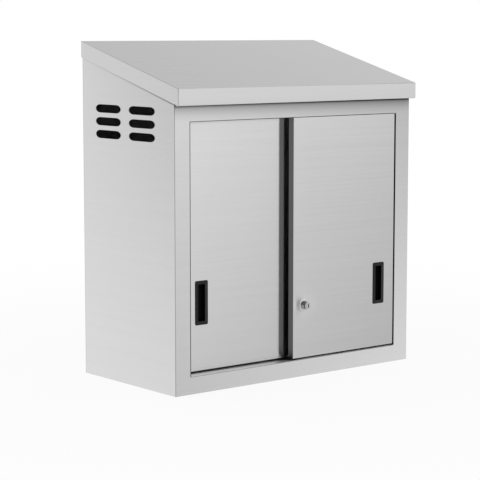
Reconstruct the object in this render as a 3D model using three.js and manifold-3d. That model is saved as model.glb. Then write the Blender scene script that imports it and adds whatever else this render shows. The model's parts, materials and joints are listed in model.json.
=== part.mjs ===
// A wall cabinet in folded stainless steel, with a sloped hood, two sliding doors that hang
// on wheels, a push lock, one loose shelf and vents in both sides.
// Millimetres. +X is to the right of someone facing the doors, +Y points to the wall, +Z is up.
// The origin is at the middle of the bottom of the whole cabinet's box.

import * as THREE from 'three';
import { mergeVertices } from 'three/addons/utils/BufferGeometryUtils.js';
import Module from 'manifold-3d';

const wasm = await Module();
wasm.setup();

// The body and its hood
const bodyWidth = 762;
const bodyDepth = 381;
const bodyHeight = 838.2;
const hoodFrontOverhang = 20;
const hoodSideOverhang = 4;
const hoodRise = 108.2;
const fasciaHeight = 40;
const fasciaLip = 15;
const hoodHem = 3;

// Sheet and clearances
const sheet = 1.2;
const seatGap = 0.3;
const cutOverrun = 5;

// The welded front frame
const stileWidth = 46;
const bottomRailHeight = 43;
const topRailHeight = 39;
const frameReturn = 12;
const bottomLip = 20;
const jambTopLap = 27;

// The doors, of which the right one runs in the front lane
const doorRecess = 3;
const doorThickness = 18;
const doorLaneGap = 10;
const doorOverlap = 24;
const doorEdgeGap = 2;
const doorBottomGap = 4;
const doorTopLap = 14;
const doorSheet = 1;
const linerReturn = 5;
const grooveWidth = 8;
const travelReserve = 5;
const behindDoors = 5;

// The recessed pulls
const pullWidth = 39;
const pullHeight = 108;
const pullCorner = 4;
const pullProud = 1.6;
const pullFromDoorEdge = 53.5;
const pullCentreHeight = 213;
const pullHoleMargin = 3;
const pullMouthWidth = 21;
const pullMouthHeight = 96;
const pullMouthDepth = 2;
const pullDepth = 13;
const pullWall = 1.8;

// The hangers and their wheels
const hangerInset = 45;
const hangerWidth = 28;
const hangerSheet = 2;
const hangerFootDepth = 14.5;
const hangerAboveAxle = 9;
const wheelRadius = 11;
const wheelFlangeRadius = 13.5;
const wheelFlangeThickness = 1.2;
const wheelTreadWidth = 7.6;
const axleRadius = 3;
const axleHeadRadius = 5;
const axleHeadThickness = 1.5;
const screwRadius = 3;
const screwHeadRadius = 5.5;
const screwHeadHeight = 3;
const screwDepth = 10;

// The double track over the doors
const trackSheet = 2;
const ledgeAboveDoor = 21;
const trackRoom = 27;
const trackWebClearance = 6.5;
const trackFlange = 12;
const stopLength = 16;
const stopHeight = 13;
const stopWidth = 9;

// The guide on the sill
const guideLength = 16;
const guideBaseThickness = 2;
const guideFinHeight = 6;
const guideSideClearance = 0.6;
const guideBaseMargin = 6;
const guideScrewRadius = 2;
const guideScrewLength = 12;

// The push lock in the right door
const lockFromDoorEdge = 35;
const lockHeight = 180.5;
const lockFlangeRadius = 14.5;
const lockFlangeThickness = 2;
const lockSleeveRadius = 12.2;
const lockBoreRadius = 10.6;
const lockMouthLip = 1.7;
const lockEndWall = 1.5;
const lockFromLiner = 0.5;
const lockBarrelRadius = 9.5;
const lockCollarRadius = 10.3;
const lockCollarThickness = 2;
const lockBarrelProud = 16;
const lockBarrelBevel = 0.8;
const lockBoltRadius = 4;
const lockPlugRadius = 6;
const lockPlugLength = 9;
const lockPlugProud = 0.4;
const keySlotWidth = 2;
const keySlotHeight = 8;
const keySlotDepth = 7;
const lockNutWidth = 32;
const lockNutThickness = 3;
const springWireRadius = 0.5;
const springMeanRadius = 7.4;
const springTurns = 3.5;

// The vents
const ventLength = 106;
const ventHeight = 20;
const ventEndLength = 19;
const ventPitch = 31.5;
const ventBelowFascia = 16;
const ventFrontCentre = 131;
const ventBackCentre = 271;
const ventRows = 3;

// The floor, the wall rails and the flanges that join the sheets
const sideFlange = 20;
const panFlange = 25;
const hatWidth = 60;
const hatTop = 30;
const hatDepth = 20;
const railHeight = 40;
const railThickness = 3;
const upperRailFromTop = 72;
const lowerRailCentre = 95;
const studSpacing = 406.4;
const wallBoltRadius = 4.5;

// The shelf and the strips that carry it
const pilasterWidth = 18;
const pilasterDepth = 6;
const pilasterBottom = 75;
const pilasterBelowOpening = 66;
const pilasterFrontFromSill = 36;
const pilasterBackFromWall = 60;
const pilasterSlotPitch = 32;
const pilasterSlotHeight = 10;
const pilasterSlotWidth = 8;
const pilasterFirstSlot = 15;
const shelfSlotStep = 8;
const shelfSideGap = 3;
const shelfEndGap = 8;
const shelfFlange = 30;
const shelfLip = 16;
const shelfHatDepth = 16;
const clipWidth = 14;
const clipHeight = 18;
const clipSheet = 2;
const clipSeat = 14;

// The rubber buffers
const bufferRadius = 5;
const bufferFromDoorEnd = 60;

// Numbers of straight sides on what is round
const smallSides = 16;
const coarseSides = 24;
const fineSides = 36;
const cornerSides = 5;
const ventEndSides = 12;
const nutSides = 6;
const wireSegments = 3;

// Places worked out from the sizes above
const halfWidth = bodyWidth / 2;
const innerHalfWidth = halfWidth - sheet;
const hoodHalfWidth = halfWidth + hoodSideOverhang;
const backY = (bodyDepth + hoodFrontOverhang) / 2;
const frontY = backY - bodyDepth;
const hoodFrontY = frontY - hoodFrontOverhang;
const frameBackY = frontY + sheet;
const panelBackY = backY - sheet;
const flangeFrontY = panelBackY - sheet;
const roofRise = hoodRise / (backY - hoodFrontY);
const roofDrop = sheet * Math.hypot(1, roofRise);
const fasciaTop = bodyHeight - hoodRise;
const fasciaBottom = fasciaTop - fasciaHeight;

const openingHalf = halfWidth - stileWidth;
const openingTop = fasciaBottom - topRailHeight;
const doorWidth = openingHalf - doorEdgeGap + doorOverlap / 2;
const doorBottom = bottomRailHeight + doorBottomGap;
const doorTop = openingTop + doorTopLap;
const doorHalf = doorThickness / 2;
const doorTravel = 2 * (openingHalf - doorEdgeGap) - doorWidth - travelReserve;
const frontLaneY = frontY + doorRecess + doorHalf;
const backLaneY = frontLaneY + doorThickness + doorLaneGap;
const sillBackY = backLaneY + doorHalf + behindDoors;
const doorCentreX = openingHalf - doorEdgeGap - doorWidth / 2;
const hangerX = doorWidth / 2 - hangerInset;

const ledgeTop = doorTop + ledgeAboveDoor;
const trackTop = ledgeTop + trackRoom + trackSheet;
const axleHeight = ledgeTop + seatGap + wheelRadius;
const wheelFrontFromLane = -wheelTreadWidth / 2 - wheelFlangeThickness;
const hangerBackFromLane = wheelFrontFromLane - seatGap;
const ledgeFrontFromLane = seatGap - wheelTreadWidth / 2;
const trackWebFromLane = wheelTreadWidth / 2 + trackWebClearance;

// Outer height of the sloped hood over a place between the front and the wall
function roofHeight(y) {
  return bodyHeight - (backY - y) * roofRise;
}

// Height to which the sheets under the hood reach
function underRoof(y) {
  return roofHeight(y) - roofDrop - seatGap;
}

// Finishes

function brushedSteel() {
  return new THREE.MeshStandardMaterial({
    color: 0xc6c7c8, metalness: 0.9, roughness: 0.38, flatShading: true,
  });
}

function plainSteel() {
  return new THREE.MeshStandardMaterial({
    color: 0xb4b6b8, metalness: 0.85, roughness: 0.45, flatShading: true,
  });
}

function chrome() {
  return new THREE.MeshStandardMaterial({
    color: 0xd8dadc, metalness: 1, roughness: 0.14, flatShading: true,
  });
}

function blackPlastic() {
  return new THREE.MeshStandardMaterial({
    color: 0x1c1c1d, metalness: 0, roughness: 0.55, flatShading: true,
  });
}

function nylon() {
  return new THREE.MeshStandardMaterial({
    color: 0xe4e2da, metalness: 0, roughness: 0.5, flatShading: true,
  });
}

function rubber() {
  return new THREE.MeshStandardMaterial({
    color: 0x252525, metalness: 0, roughness: 0.85, flatShading: true,
  });
}

// Solids: three.js shapes, joined and cut as closed solids

function solidOf(geometry) {
  const bare = geometry.clone();
  bare.deleteAttribute('normal');
  bare.deleteAttribute('uv');
  const merged = mergeVertices(bare);
  const vertProperties = new Float32Array(merged.attributes.position.array);
  const triVerts = new Uint32Array(merged.index.array);
  return new wasm.Manifold(new wasm.Mesh({ numProp: 3, vertProperties, triVerts }));
}

function geometryOf(solid) {
  const mesh = solid.getMesh();
  const geometry = new THREE.BufferGeometry();
  geometry.setAttribute('position', new THREE.BufferAttribute(mesh.vertProperties, 3));
  geometry.setIndex(new THREE.BufferAttribute(mesh.triVerts, 1));
  geometry.computeVertexNormals();
  return geometry;
}

// Joining and cutting leave one solid, whose flat faces hold no slivers
function join(...solids) {
  return solids.reduce((whole, solid) => whole.add(solid)).asOriginal();
}

function cut(solid, ...tools) {
  return tools.reduce((rest, tool) => rest.subtract(tool), solid).asOriginal();
}

// The same solid on the other side of the plane X = 0
function mirrorX(solid) {
  const { vertProperties, triVerts } = solid.getMesh();
  const mirrored = vertProperties.map((value, index) => (index % 3 === 0 ? -value : value));
  const flipped = triVerts.map((value, index) => triVerts[index - (index % 3) + 2 - (index % 3)]);
  return new wasm.Manifold(new wasm.Mesh({ numProp: 3, vertProperties: mirrored, triVerts: flipped }));
}

// A block between two values on each axis
function block([x0, x1], [y0, y1], [z0, z1]) {
  const geometry = new THREE.BoxGeometry(x1 - x0, y1 - y0, z1 - z0);
  geometry.translate((x0 + x1) / 2, (y0 + y1) / 2, (z0 + z1) / 2);
  return solidOf(geometry);
}

// An outline of (Y, Z) points, or a shape in that plane, pushed from x0 to x1
function alongX(outline, x0, x1, curveSegments = cornerSides) {
  const shape = Array.isArray(outline)
    ? new THREE.Shape(outline.map(([y, z]) => new THREE.Vector2(y, z)))
    : outline;
  const geometry = new THREE.ExtrudeGeometry(shape, { depth: x1 - x0, bevelEnabled: false, curveSegments });
  const turn = new THREE.Matrix4().makeBasis(
    new THREE.Vector3(0, 1, 0), new THREE.Vector3(0, 0, 1), new THREE.Vector3(1, 0, 0));
  geometry.applyMatrix4(turn);
  geometry.translate(x0, 0, 0);
  return solidOf(geometry);
}

// A shape of (X, Z) points pushed from y0 to y1
function alongY(shape, y0, y1) {
  const geometry = new THREE.ExtrudeGeometry(
    shape, { depth: y1 - y0, bevelEnabled: false, curveSegments: cornerSides });
  const turn = new THREE.Matrix4().makeBasis(
    new THREE.Vector3(1, 0, 0), new THREE.Vector3(0, 0, 1), new THREE.Vector3(0, -1, 0));
  geometry.applyMatrix4(turn);
  geometry.translate(0, y1, 0);
  return solidOf(geometry);
}

// A rod along one axis, between two values on it and at a place on the other two axes
function rod(axis, radius, from, to, [a, b], sides = smallSides) {
  const geometry = new THREE.CylinderGeometry(radius, radius, to - from, sides);
  const middle = (from + to) / 2;
  if (axis === 'x') {
    geometry.rotateZ(Math.PI / 2);
    geometry.translate(middle, a, b);
  } else if (axis === 'y') {
    geometry.translate(a, middle, b);
  } else {
    geometry.rotateX(Math.PI / 2);
    geometry.translate(a, b, middle);
  }
  return solidOf(geometry);
}

// A profile of (radius, Y) points turned round the Y axis. It ends on the axis or closes on itself.
function turned(profile, sides = coarseSides) {
  const closed = profile[0][0] === 0 ? profile : [...profile, profile[0]];
  const points = closed.map(([radius, y]) => new THREE.Vector2(radius, y));
  return solidOf(new THREE.LatheGeometry(points, sides));
}

// A rectangle of (X, Z) points with round corners
function roundedRectangle(width, height, corner) {
  const x = width / 2;
  const z = height / 2;
  const shape = new THREE.Shape();
  shape.moveTo(x, z - corner);
  shape.absarc(x - corner, z - corner, corner, 0, Math.PI / 2);
  shape.absarc(corner - x, z - corner, corner, Math.PI / 2, Math.PI);
  shape.absarc(corner - x, corner - z, corner, Math.PI, 1.5 * Math.PI);
  shape.absarc(x - corner, corner - z, corner, 1.5 * Math.PI, 2 * Math.PI);
  return shape;
}

// Adds a named piece to its group
function add(group, name, solid, material, place = [0, 0, 0]) {
  const mesh = new THREE.Mesh(geometryOf(solid), material);
  mesh.name = name;
  mesh.position.set(...place);
  group.add(mesh);
}

function groupAt(parent, x, y, z) {
  const group = new THREE.Group();
  group.position.set(x, y, z);
  parent.add(group);
  return group;
}

// The hood: one sheet folded down at the front, with a lip below, and hemmed at both sides
function hood() {
  const sheetOutline = [
    [hoodFrontY, fasciaTop],
    [backY, bodyHeight],
    [backY, bodyHeight - roofDrop],
    [hoodFrontY + sheet, roofHeight(hoodFrontY + sheet) - roofDrop],
    [hoodFrontY + sheet, fasciaBottom + sheet],
    [hoodFrontY + fasciaLip, fasciaBottom + sheet],
    [hoodFrontY + fasciaLip, fasciaBottom],
    [hoodFrontY, fasciaBottom],
  ];
  const sideOutline = [
    [hoodFrontY, fasciaTop],
    [backY, bodyHeight],
    [backY, bodyHeight - fasciaHeight],
    [hoodFrontY, fasciaBottom],
  ];
  const side = alongX(sideOutline, hoodHalfWidth - hoodHem, hoodHalfWidth);
  return join(alongX(sheetOutline, -hoodHalfWidth, hoodHalfWidth), side, mirrorX(side));
}

// A hat-shaped stiffener hangs below the hood, on its slope
function roofStiffener() {
  const slope = Math.atan(roofRise);
  const middleY = (frontY + backY) / 2;
  const topZ = underRoof(middleY);
  const outline = hatOutline(hatDepth).map(([across, down]) => [
    middleY + across * Math.cos(slope) + down * Math.sin(slope),
    topZ + across * Math.sin(slope) - down * Math.cos(slope),
  ]);
  return alongX(outline, seatGap - innerHalfWidth, innerHalfWidth - seatGap);
}

// Outline of a hat section, as (across, down from the sheet that it stiffens)
function hatOutline(depth) {
  const brim = hatWidth / 2;
  const crown = hatTop / 2;
  return [
    [-brim, 0], [sheet - crown, 0], [sheet - crown, depth - sheet], [crown - sheet, depth - sheet],
    [crown - sheet, 0], [brim, 0], [brim, sheet], [crown, sheet],
    [crown, depth], [-crown, depth], [-crown, sheet], [-brim, sheet],
  ];
}

// The front frame: stiles and rails in one face, with returns round the opening
function frontFrame() {
  const face = cut(
    block([-halfWidth, halfWidth], [frontY, frameBackY], [0, underRoof(frontY)]),
    block([-openingHalf, openingHalf], [frontY - cutOverrun, frameBackY + cutOverrun],
      [bottomRailHeight, openingTop]));
  const lip = block([-innerHalfWidth, innerHalfWidth], [frontY, frameBackY + bottomLip], [0, sheet]);
  return join(face, lip, frameReturns());
}

// The sill and the jambs behind the face, with a narrow return at their back edges
function frameReturns() {
  const jambTop = openingTop + jambTopLap;
  const outerHalf = openingHalf + frameReturn;
  const bottom = bottomRailHeight - frameReturn;
  const sideHollow = block([openingHalf + sheet, outerHalf + cutOverrun],
    [frontY - cutOverrun, sillBackY - sheet], [bottom - cutOverrun, jambTop + cutOverrun]);
  return cut(
    block([-outerHalf, outerHalf], [frontY, sillBackY], [bottom, jambTop]),
    block([-openingHalf, openingHalf], [frontY - cutOverrun, sillBackY + cutOverrun],
      [bottomRailHeight, jambTop + cutOverrun]),
    block([-outerHalf - cutOverrun, outerHalf + cutOverrun], [frontY - cutOverrun, sillBackY - sheet],
      [bottom - cutOverrun, bottomRailHeight - sheet]),
    sideHollow,
    mirrorX(sideHollow));
}

// Slots with oval ends in a side, as cutters along X
function ventCutters(x0, x1) {
  const cutters = [];
  const half = ventHeight / 2;
  const end = ventEndLength;
  const straight = ventLength / 2 - end;
  for (const column of [ventFrontCentre, ventBackCentre]) {
    for (let row = 0; row < ventRows; row += 1) {
      const y = frontY + column;
      const z = fasciaBottom - ventBelowFascia - row * ventPitch;
      const shape = new THREE.Shape();
      shape.moveTo(y + straight, z - half);
      shape.absellipse(y + straight, z, end, half, -Math.PI / 2, Math.PI / 2);
      shape.absellipse(y - straight, z, end, half, Math.PI / 2, 1.5 * Math.PI);
      cutters.push(alongX(shape, x0, x1, ventEndSides));
    }
  }
  return cutters;
}

// The right side: a sheet with a flange at the wall, a lip to stand on and the vents
function sidePanel() {
  const outline = [
    [frameBackY, 0],
    [panelBackY, 0],
    [panelBackY, underRoof(panelBackY)],
    [frameBackY, underRoof(frameBackY)],
  ];
  const lipFrontY = frameBackY + bottomLip + seatGap;
  const hollow = [
    [frameBackY - cutOverrun, -cutOverrun],
    [lipFrontY, -cutOverrun],
    [lipFrontY, sheet],
    [flangeFrontY, sheet],
    [flangeFrontY, bodyHeight],
    [frameBackY - cutOverrun, bodyHeight],
  ];
  return cut(
    alongX(outline, halfWidth - sideFlange, halfWidth),
    alongX(hollow, halfWidth - sideFlange - cutOverrun, innerHalfWidth),
    ...ventCutters(innerHalfWidth - cutOverrun, halfWidth + cutOverrun));
}

function boltPlaces() {
  return [-studSpacing / 2, studSpacing / 2];
}

const upperRailCentre = bodyHeight - upperRailFromTop;

function backPanel() {
  const sheetBlock = block([-halfWidth, halfWidth], [panelBackY, backY], [0, underRoof(panelBackY)]);
  const holes = [upperRailCentre, lowerRailCentre].flatMap((z) => boltPlaces().map(
    (x) => rod('y', wallBoltRadius, panelBackY - cutOverrun, backY + cutOverrun, [x, z])));
  return cut(sheetBlock, ...holes);
}

// A bar inside the back that takes the wall bolts
function wallRail(centre) {
  const halfLength = halfWidth - sideFlange - seatGap;
  const railFrontY = panelBackY - railThickness;
  const bar = block([-halfLength, halfLength], [railFrontY, panelBackY],
    [centre - railHeight / 2, centre + railHeight / 2]);
  const holes = boltPlaces().map(
    (x) => rod('y', wallBoltRadius, railFrontY - cutOverrun, panelBackY + cutOverrun, [x, centre]));
  return cut(bar, ...holes);
}

// The floor: level with the sill, folded down at three sides, with an ear behind each stile
function floorPan() {
  const bottom = bottomRailHeight - panFlange;
  const notchHalf = openingHalf + frameReturn + seatGap;
  return cut(
    block([-innerHalfWidth, innerHalfWidth], [frameBackY, flangeFrontY], [bottom, bottomRailHeight]),
    block([sheet - innerHalfWidth, innerHalfWidth - sheet], [frameBackY - cutOverrun, flangeFrontY - sheet],
      [bottom - cutOverrun, bottomRailHeight - sheet]),
    block([-notchHalf, notchHalf], [frameBackY - cutOverrun, sillBackY],
      [bottom - cutOverrun, bottomRailHeight + cutOverrun]));
}

function floorStiffener() {
  const middleY = (sillBackY + flangeFrontY) / 2;
  const outline = hatOutline(hatDepth).map(([across, down]) => [
    middleY + across, bottomRailHeight - sheet - down]);
  return alongX(outline, sheet + seatGap - innerHalfWidth, innerHalfWidth - sheet - seatGap);
}

// The double track: a top plate with a web and a ledge for each lane
function upperTrack() {
  const t = trackSheet;
  const backWeb = backLaneY + trackWebFromLane;
  const frontWeb = frontLaneY + trackWebFromLane;
  const outline = [
    [frameBackY, trackTop + trackFlange],
    [frameBackY + t, trackTop + trackFlange],
    [frameBackY + t, trackTop],
    [backWeb + t, trackTop],
    [backWeb + t, ledgeTop - t],
    [backLaneY + ledgeFrontFromLane, ledgeTop - t],
    [backLaneY + ledgeFrontFromLane, ledgeTop],
    [backWeb, ledgeTop],
    [backWeb, trackTop - t],
    [frontWeb + t, trackTop - t],
    [frontWeb + t, ledgeTop - t],
    [frontLaneY + ledgeFrontFromLane, ledgeTop - t],
    [frontLaneY + ledgeFrontFromLane, ledgeTop],
    [frontWeb, ledgeTop],
    [frontWeb, trackTop - t],
    [frameBackY, trackTop - t],
  ];
  return alongX(outline, -innerHalfWidth, innerHalfWidth);
}

// A rubber block on a ledge, where the wheel nearest to it ends its run
function trackStop(laneY, side) {
  const reach = doorCentreX - hangerX - doorTravel - wheelRadius - seatGap;
  const web = laneY + trackWebFromLane;
  const solid = block([reach - stopLength, reach], [web - stopWidth, web],
    [ledgeTop, ledgeTop + stopHeight]);
  return side < 0 ? solid : mirrorX(solid);
}

// The guide on the sill: a base with one fin for the groove of each door
function floorGuide() {
  const half = guideLength / 2;
  const finHalf = grooveWidth / 2 - guideSideClearance;
  const baseTop = bottomRailHeight + guideBaseThickness;
  const finTop = doorBottom + guideFinHeight;
  const base = block([-half, half], [frontLaneY - guideBaseMargin, backLaneY + guideBaseMargin],
    [bottomRailHeight, baseTop]);
  const fins = [frontLaneY, backLaneY].map(
    (lane) => block([-half, half], [lane - finHalf, lane + finHalf], [bottomRailHeight, finTop]));
  const hole = rod('z', guideScrewRadius + seatGap, bottomRailHeight - cutOverrun, baseTop + cutOverrun,
    [0, (frontLaneY + backLaneY) / 2]);
  return cut(join(base, ...fins), hole);
}

// Its screw, which passes through the sill
function guideScrew() {
  const middle = (frontLaneY + backLaneY) / 2;
  const baseTop = bottomRailHeight + guideBaseThickness;
  const headTop = baseTop + guideScrewRadius;
  const shank = rod('z', guideScrewRadius, baseTop - guideScrewLength, headTop, [0, middle]);
  const head = rod('z', 2 * guideScrewRadius, baseTop, headTop, [0, middle]);
  return join(shank, head);
}

function sillHole() {
  return rod('z', guideScrewRadius + seatGap, bottomRailHeight - sheet - cutOverrun,
    bottomRailHeight + cutOverrun, [0, (frontLaneY + backLaneY) / 2]);
}

// Doors, each in its own frame: X from the door's middle, Y from its lane, Z from the floor

const doorSpan = [-doorWidth / 2, doorWidth / 2];
const hangerPlaces = [-hangerX, hangerX];
const screwFromLane = hangerBackFromLane - hangerSheet + hangerFootDepth / 2 + hangerSheet / 2;

// The outer tray of a door, open at the back
function doorSkin(pullX, lockX) {
  const [x0, x1] = doorSpan;
  const tray = cut(
    block([x0, x1], [-doorHalf, doorHalf], [doorBottom, doorTop]),
    block([x0 + doorSheet, x1 - doorSheet], [doorSheet - doorHalf, doorHalf + cutOverrun],
      [doorBottom + doorSheet, doorTop - doorSheet]));
  const groove = block([x0 + doorSheet, x1 - doorSheet], [-grooveWidth / 2, doorHalf + cutOverrun],
    [doorBottom - cutOverrun, doorBottom + 2 * doorSheet]);
  const holeHalfWidth = pullWidth / 2 - pullHoleMargin;
  const holeHalfHeight = pullHeight / 2 - pullHoleMargin;
  const pullHole = block([pullX - holeHalfWidth, pullX + holeHalfWidth], [-doorHalf - cutOverrun, 0],
    [pullCentreHeight - holeHalfHeight, pullCentreHeight + holeHalfHeight]);
  const screwHoles = hangerPlaces.map((x) => rod('z', screwRadius + seatGap,
    doorTop - doorSheet - cutOverrun, doorTop + cutOverrun, [x, screwFromLane]));
  const lockHoles = lockX === null ? [] : [rod('y', lockSleeveRadius + seatGap,
    -doorHalf - cutOverrun, 0, [lockX, lockHeight], fineSides)];
  return cut(tray, groove, pullHole, ...screwHoles, ...lockHoles);
}

// The inner tray, which closes the back of the door
function doorLiner(lockX) {
  const [x0, x1] = [doorSpan[0] + doorSheet + seatGap, doorSpan[1] - doorSheet - seatGap];
  const top = doorTop - doorSheet - seatGap;
  const tray = cut(
    block([x0, x1], [doorHalf - linerReturn, doorHalf], [doorBottom, top]),
    block([x0 + doorSheet, x1 - doorSheet], [doorHalf - linerReturn - cutOverrun, doorHalf - doorSheet],
      [doorBottom + doorSheet, top - doorSheet]));
  if (lockX === null) {
    return tray;
  }
  return cut(tray, rod('y', lockBoltRadius + 2 * seatGap, 0, doorHalf + cutOverrun, [lockX, lockHeight]));
}

// The recessed pull: a rim on the door's face and a cup behind it
function doorPull() {
  const holeHalfWidth = pullWidth / 2 - pullHoleMargin - seatGap;
  const holeHalfHeight = pullHeight / 2 - pullHoleMargin - seatGap;
  const face = -doorHalf;
  const rim = alongY(roundedRectangle(pullWidth, pullHeight, pullCorner), face - pullProud, face);
  const cup = block([-holeHalfWidth, holeHalfWidth], [face - pullProud / 2, face + pullDepth],
    [-holeHalfHeight, holeHalfHeight]);
  const mouth = block([-pullMouthWidth / 2, pullMouthWidth / 2],
    [face - pullProud - cutOverrun, face + pullMouthDepth + pullWall],
    [-pullMouthHeight / 2, pullMouthHeight / 2]);
  const cavity = block([pullWall - holeHalfWidth, holeHalfWidth - pullWall],
    [face + pullMouthDepth, face + pullDepth - pullWall],
    [pullWall - holeHalfHeight, holeHalfHeight - pullWall]);
  return cut(join(rim, cup), mouth, cavity);
}

// A hanger: an upright in front of the wheel and a foot on the door's top
function hanger() {
  const half = hangerWidth / 2;
  const frontFace = hangerBackFromLane - hangerSheet;
  const footTop = doorTop + hangerSheet;
  const upright = block([-half, half], [frontFace, hangerBackFromLane],
    [doorTop, axleHeight + hangerAboveAxle]);
  const foot = block([-half, half], [frontFace, frontFace + hangerFootDepth], [doorTop, footTop]);
  const axleHole = rod('y', axleRadius + seatGap, frontFace - cutOverrun, hangerBackFromLane + cutOverrun,
    [0, axleHeight]);
  const screwHole = rod('z', screwRadius + seatGap, doorTop - cutOverrun, footTop + cutOverrun,
    [0, screwFromLane]);
  return cut(join(upright, foot), axleHole, screwHole);
}

function hangerScrew() {
  const seat = doorTop + hangerSheet;
  return join(
    rod('z', screwRadius, seat - screwDepth, seat + screwHeadHeight, [0, screwFromLane]),
    rod('z', screwHeadRadius, seat, seat + screwHeadHeight, [0, screwFromLane]));
}

// The wheel, turned about its own axis, with a flange that keeps it on the ledge
function wheel() {
  const front = wheelFrontFromLane;
  const back = wheelTreadWidth / 2;
  const bore = axleRadius + seatGap;
  const profile = [
    [bore, front],
    [wheelFlangeRadius, front],
    [wheelFlangeRadius, front + wheelFlangeThickness],
    [wheelRadius, front + wheelFlangeThickness],
    [wheelRadius, back],
    [bore, back],
  ];
  return turned(profile);
}

// The axle: a rivet through the hanger and the wheel
function axle() {
  const frontFace = hangerBackFromLane - hangerSheet;
  const back = wheelTreadWidth / 2 + seatGap;
  const profile = [
    [0, frontFace - axleHeadThickness],
    [axleHeadRadius, frontFace - axleHeadThickness],
    [axleHeadRadius, frontFace],
    [axleRadius, frontFace],
    [axleRadius, back],
    [axleHeadRadius, back],
    [axleHeadRadius, back + axleHeadThickness],
    [0, back + axleHeadThickness],
  ];
  return turned(profile, smallSides);
}

// The parts of the lock, about its own axis, with Y from the lane

const lockFront = -doorHalf - lockFlangeThickness;
const lockSleeveBack = doorHalf - doorSheet - lockFromLiner;
const lockEndWallFront = lockSleeveBack - lockEndWall;
const barrelFront = lockFront - lockBarrelProud;
const collarFront = lockFront + lockMouthLip + seatGap;
const collarBack = collarFront + lockCollarThickness;

function lockHousing() {
  const mouth = lockBarrelRadius + seatGap;
  const profile = [
    [mouth, lockFront],
    [lockFlangeRadius, lockFront],
    [lockFlangeRadius, -doorHalf],
    [lockSleeveRadius, -doorHalf],
    [lockSleeveRadius, lockSleeveBack],
    [lockBoltRadius + seatGap, lockSleeveBack],
    [lockBoltRadius + seatGap, lockEndWallFront],
    [lockBoreRadius, lockEndWallFront],
    [lockBoreRadius, lockFront + lockMouthLip],
    [mouth, lockFront + lockMouthLip],
  ];
  return turned(profile, fineSides);
}

// The barrel that is pushed in, with its collar and its bolt
function lockBarrel() {
  const profile = [
    [0, barrelFront + lockPlugLength],
    [lockPlugRadius + seatGap, barrelFront + lockPlugLength],
    [lockPlugRadius + seatGap, barrelFront],
    [lockBarrelRadius - lockBarrelBevel, barrelFront],
    [lockBarrelRadius, barrelFront + lockBarrelBevel],
    [lockBarrelRadius, collarFront],
    [lockCollarRadius, collarFront],
    [lockCollarRadius, collarBack],
    [lockBoltRadius, collarBack],
    [lockBoltRadius, doorHalf - seatGap],
    [0, doorHalf - seatGap],
  ];
  return turned(profile, fineSides);
}

function keyPlug() {
  const front = barrelFront - lockPlugProud;
  const back = barrelFront + lockPlugLength - seatGap;
  const slot = block([-keySlotWidth / 2, keySlotWidth / 2], [front - cutOverrun, front + keySlotDepth],
    [-keySlotHeight / 2, keySlotHeight / 2]);
  return cut(rod('y', lockPlugRadius, front, back, [0, 0]), slot);
}

function lockNut() {
  const front = doorSheet - doorHalf;
  const hexagon = rod('y', lockNutWidth / 2, front, front + lockNutThickness, [0, 0], nutSides);
  return cut(hexagon, rod('y', lockSleeveRadius + seatGap, front - cutOverrun,
    front + lockNutThickness + cutOverrun, [0, 0], fineSides));
}

// The spring that sends the barrel out again
class SpringCurve extends THREE.Curve {
  getPoint(share, target = new THREE.Vector3()) {
    const start = collarBack + springWireRadius + seatGap;
    const end = lockEndWallFront - springWireRadius - seatGap;
    const angle = share * springTurns * 2 * Math.PI;
    return target.set(
      springMeanRadius * Math.cos(angle),
      start + (end - start) * share,
      springMeanRadius * Math.sin(angle));
  }
}

function lockSpring() {
  const section = new THREE.Shape();
  section.absarc(0, 0, springWireRadius, 0, 2 * Math.PI);
  const geometry = new THREE.ExtrudeGeometry(section, {
    steps: springTurns * smallSides, curveSegments: wireSegments,
    extrudePath: new SpringCurve(), bevelEnabled: false,
  });
  return solidOf(geometry);
}

const pilasterTop = openingTop - pilasterBelowOpening;

// The strips on the sides, with a slot at each shelf height
function pilaster() {
  const half = pilasterWidth / 2;
  const channel = cut(
    block([innerHalfWidth - pilasterDepth, innerHalfWidth], [-half, half], [pilasterBottom, pilasterTop]),
    block([innerHalfWidth - pilasterDepth + sheet, innerHalfWidth + cutOverrun],
      [sheet - half, half - sheet], [pilasterBottom - cutOverrun, pilasterTop + cutOverrun]));
  const slots = [];
  const lastSlot = pilasterTop - pilasterFirstSlot;
  for (let z = pilasterBottom + pilasterFirstSlot; z < lastSlot; z += pilasterSlotPitch) {
    slots.push(block(
      [innerHalfWidth - pilasterDepth - cutOverrun, innerHalfWidth - pilasterDepth + 2 * sheet],
      [-pilasterSlotWidth / 2, pilasterSlotWidth / 2],
      [z - pilasterSlotHeight / 2, z + pilasterSlotHeight / 2]));
  }
  return cut(channel, ...slots);
}

const clipSlotHeight = pilasterBottom + pilasterFirstSlot + shelfSlotStep * pilasterSlotPitch;
const clipSeatTop = clipSlotHeight + pilasterSlotHeight / 2;
const shelfTop = clipSeatTop + shelfFlange;
const pilasterFace = innerHalfWidth - pilasterDepth;

// A clip: a tongue in the slot, a back plate and a seat for the shelf
function shelfClip() {
  const half = clipWidth / 2;
  const plateX = [pilasterFace - seatGap - clipSheet, pilasterFace - seatGap];
  const tongueTop = clipSlotHeight + pilasterSlotHeight / 2 - 2 * seatGap;
  const tongue = block([pilasterFace - clipSheet, pilasterFace + 2 * sheet],
    [seatGap - pilasterSlotWidth / 2, pilasterSlotWidth / 2 - seatGap], [tongueTop - clipSheet, tongueTop]);
  const plate = block(plateX, [-half, half], [clipSeatTop - clipHeight, clipSeatTop]);
  const seat = block([pilasterFace - clipSeat, pilasterFace - seatGap], [-half, half],
    [clipSeatTop - clipSheet, clipSeatTop]);
  return join(tongue, plate, seat);
}

const shelfHalfWidth = pilasterFace - shelfSideGap;
const shelfY = [sillBackY + shelfEndGap, flangeFrontY - shelfEndGap];

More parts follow.
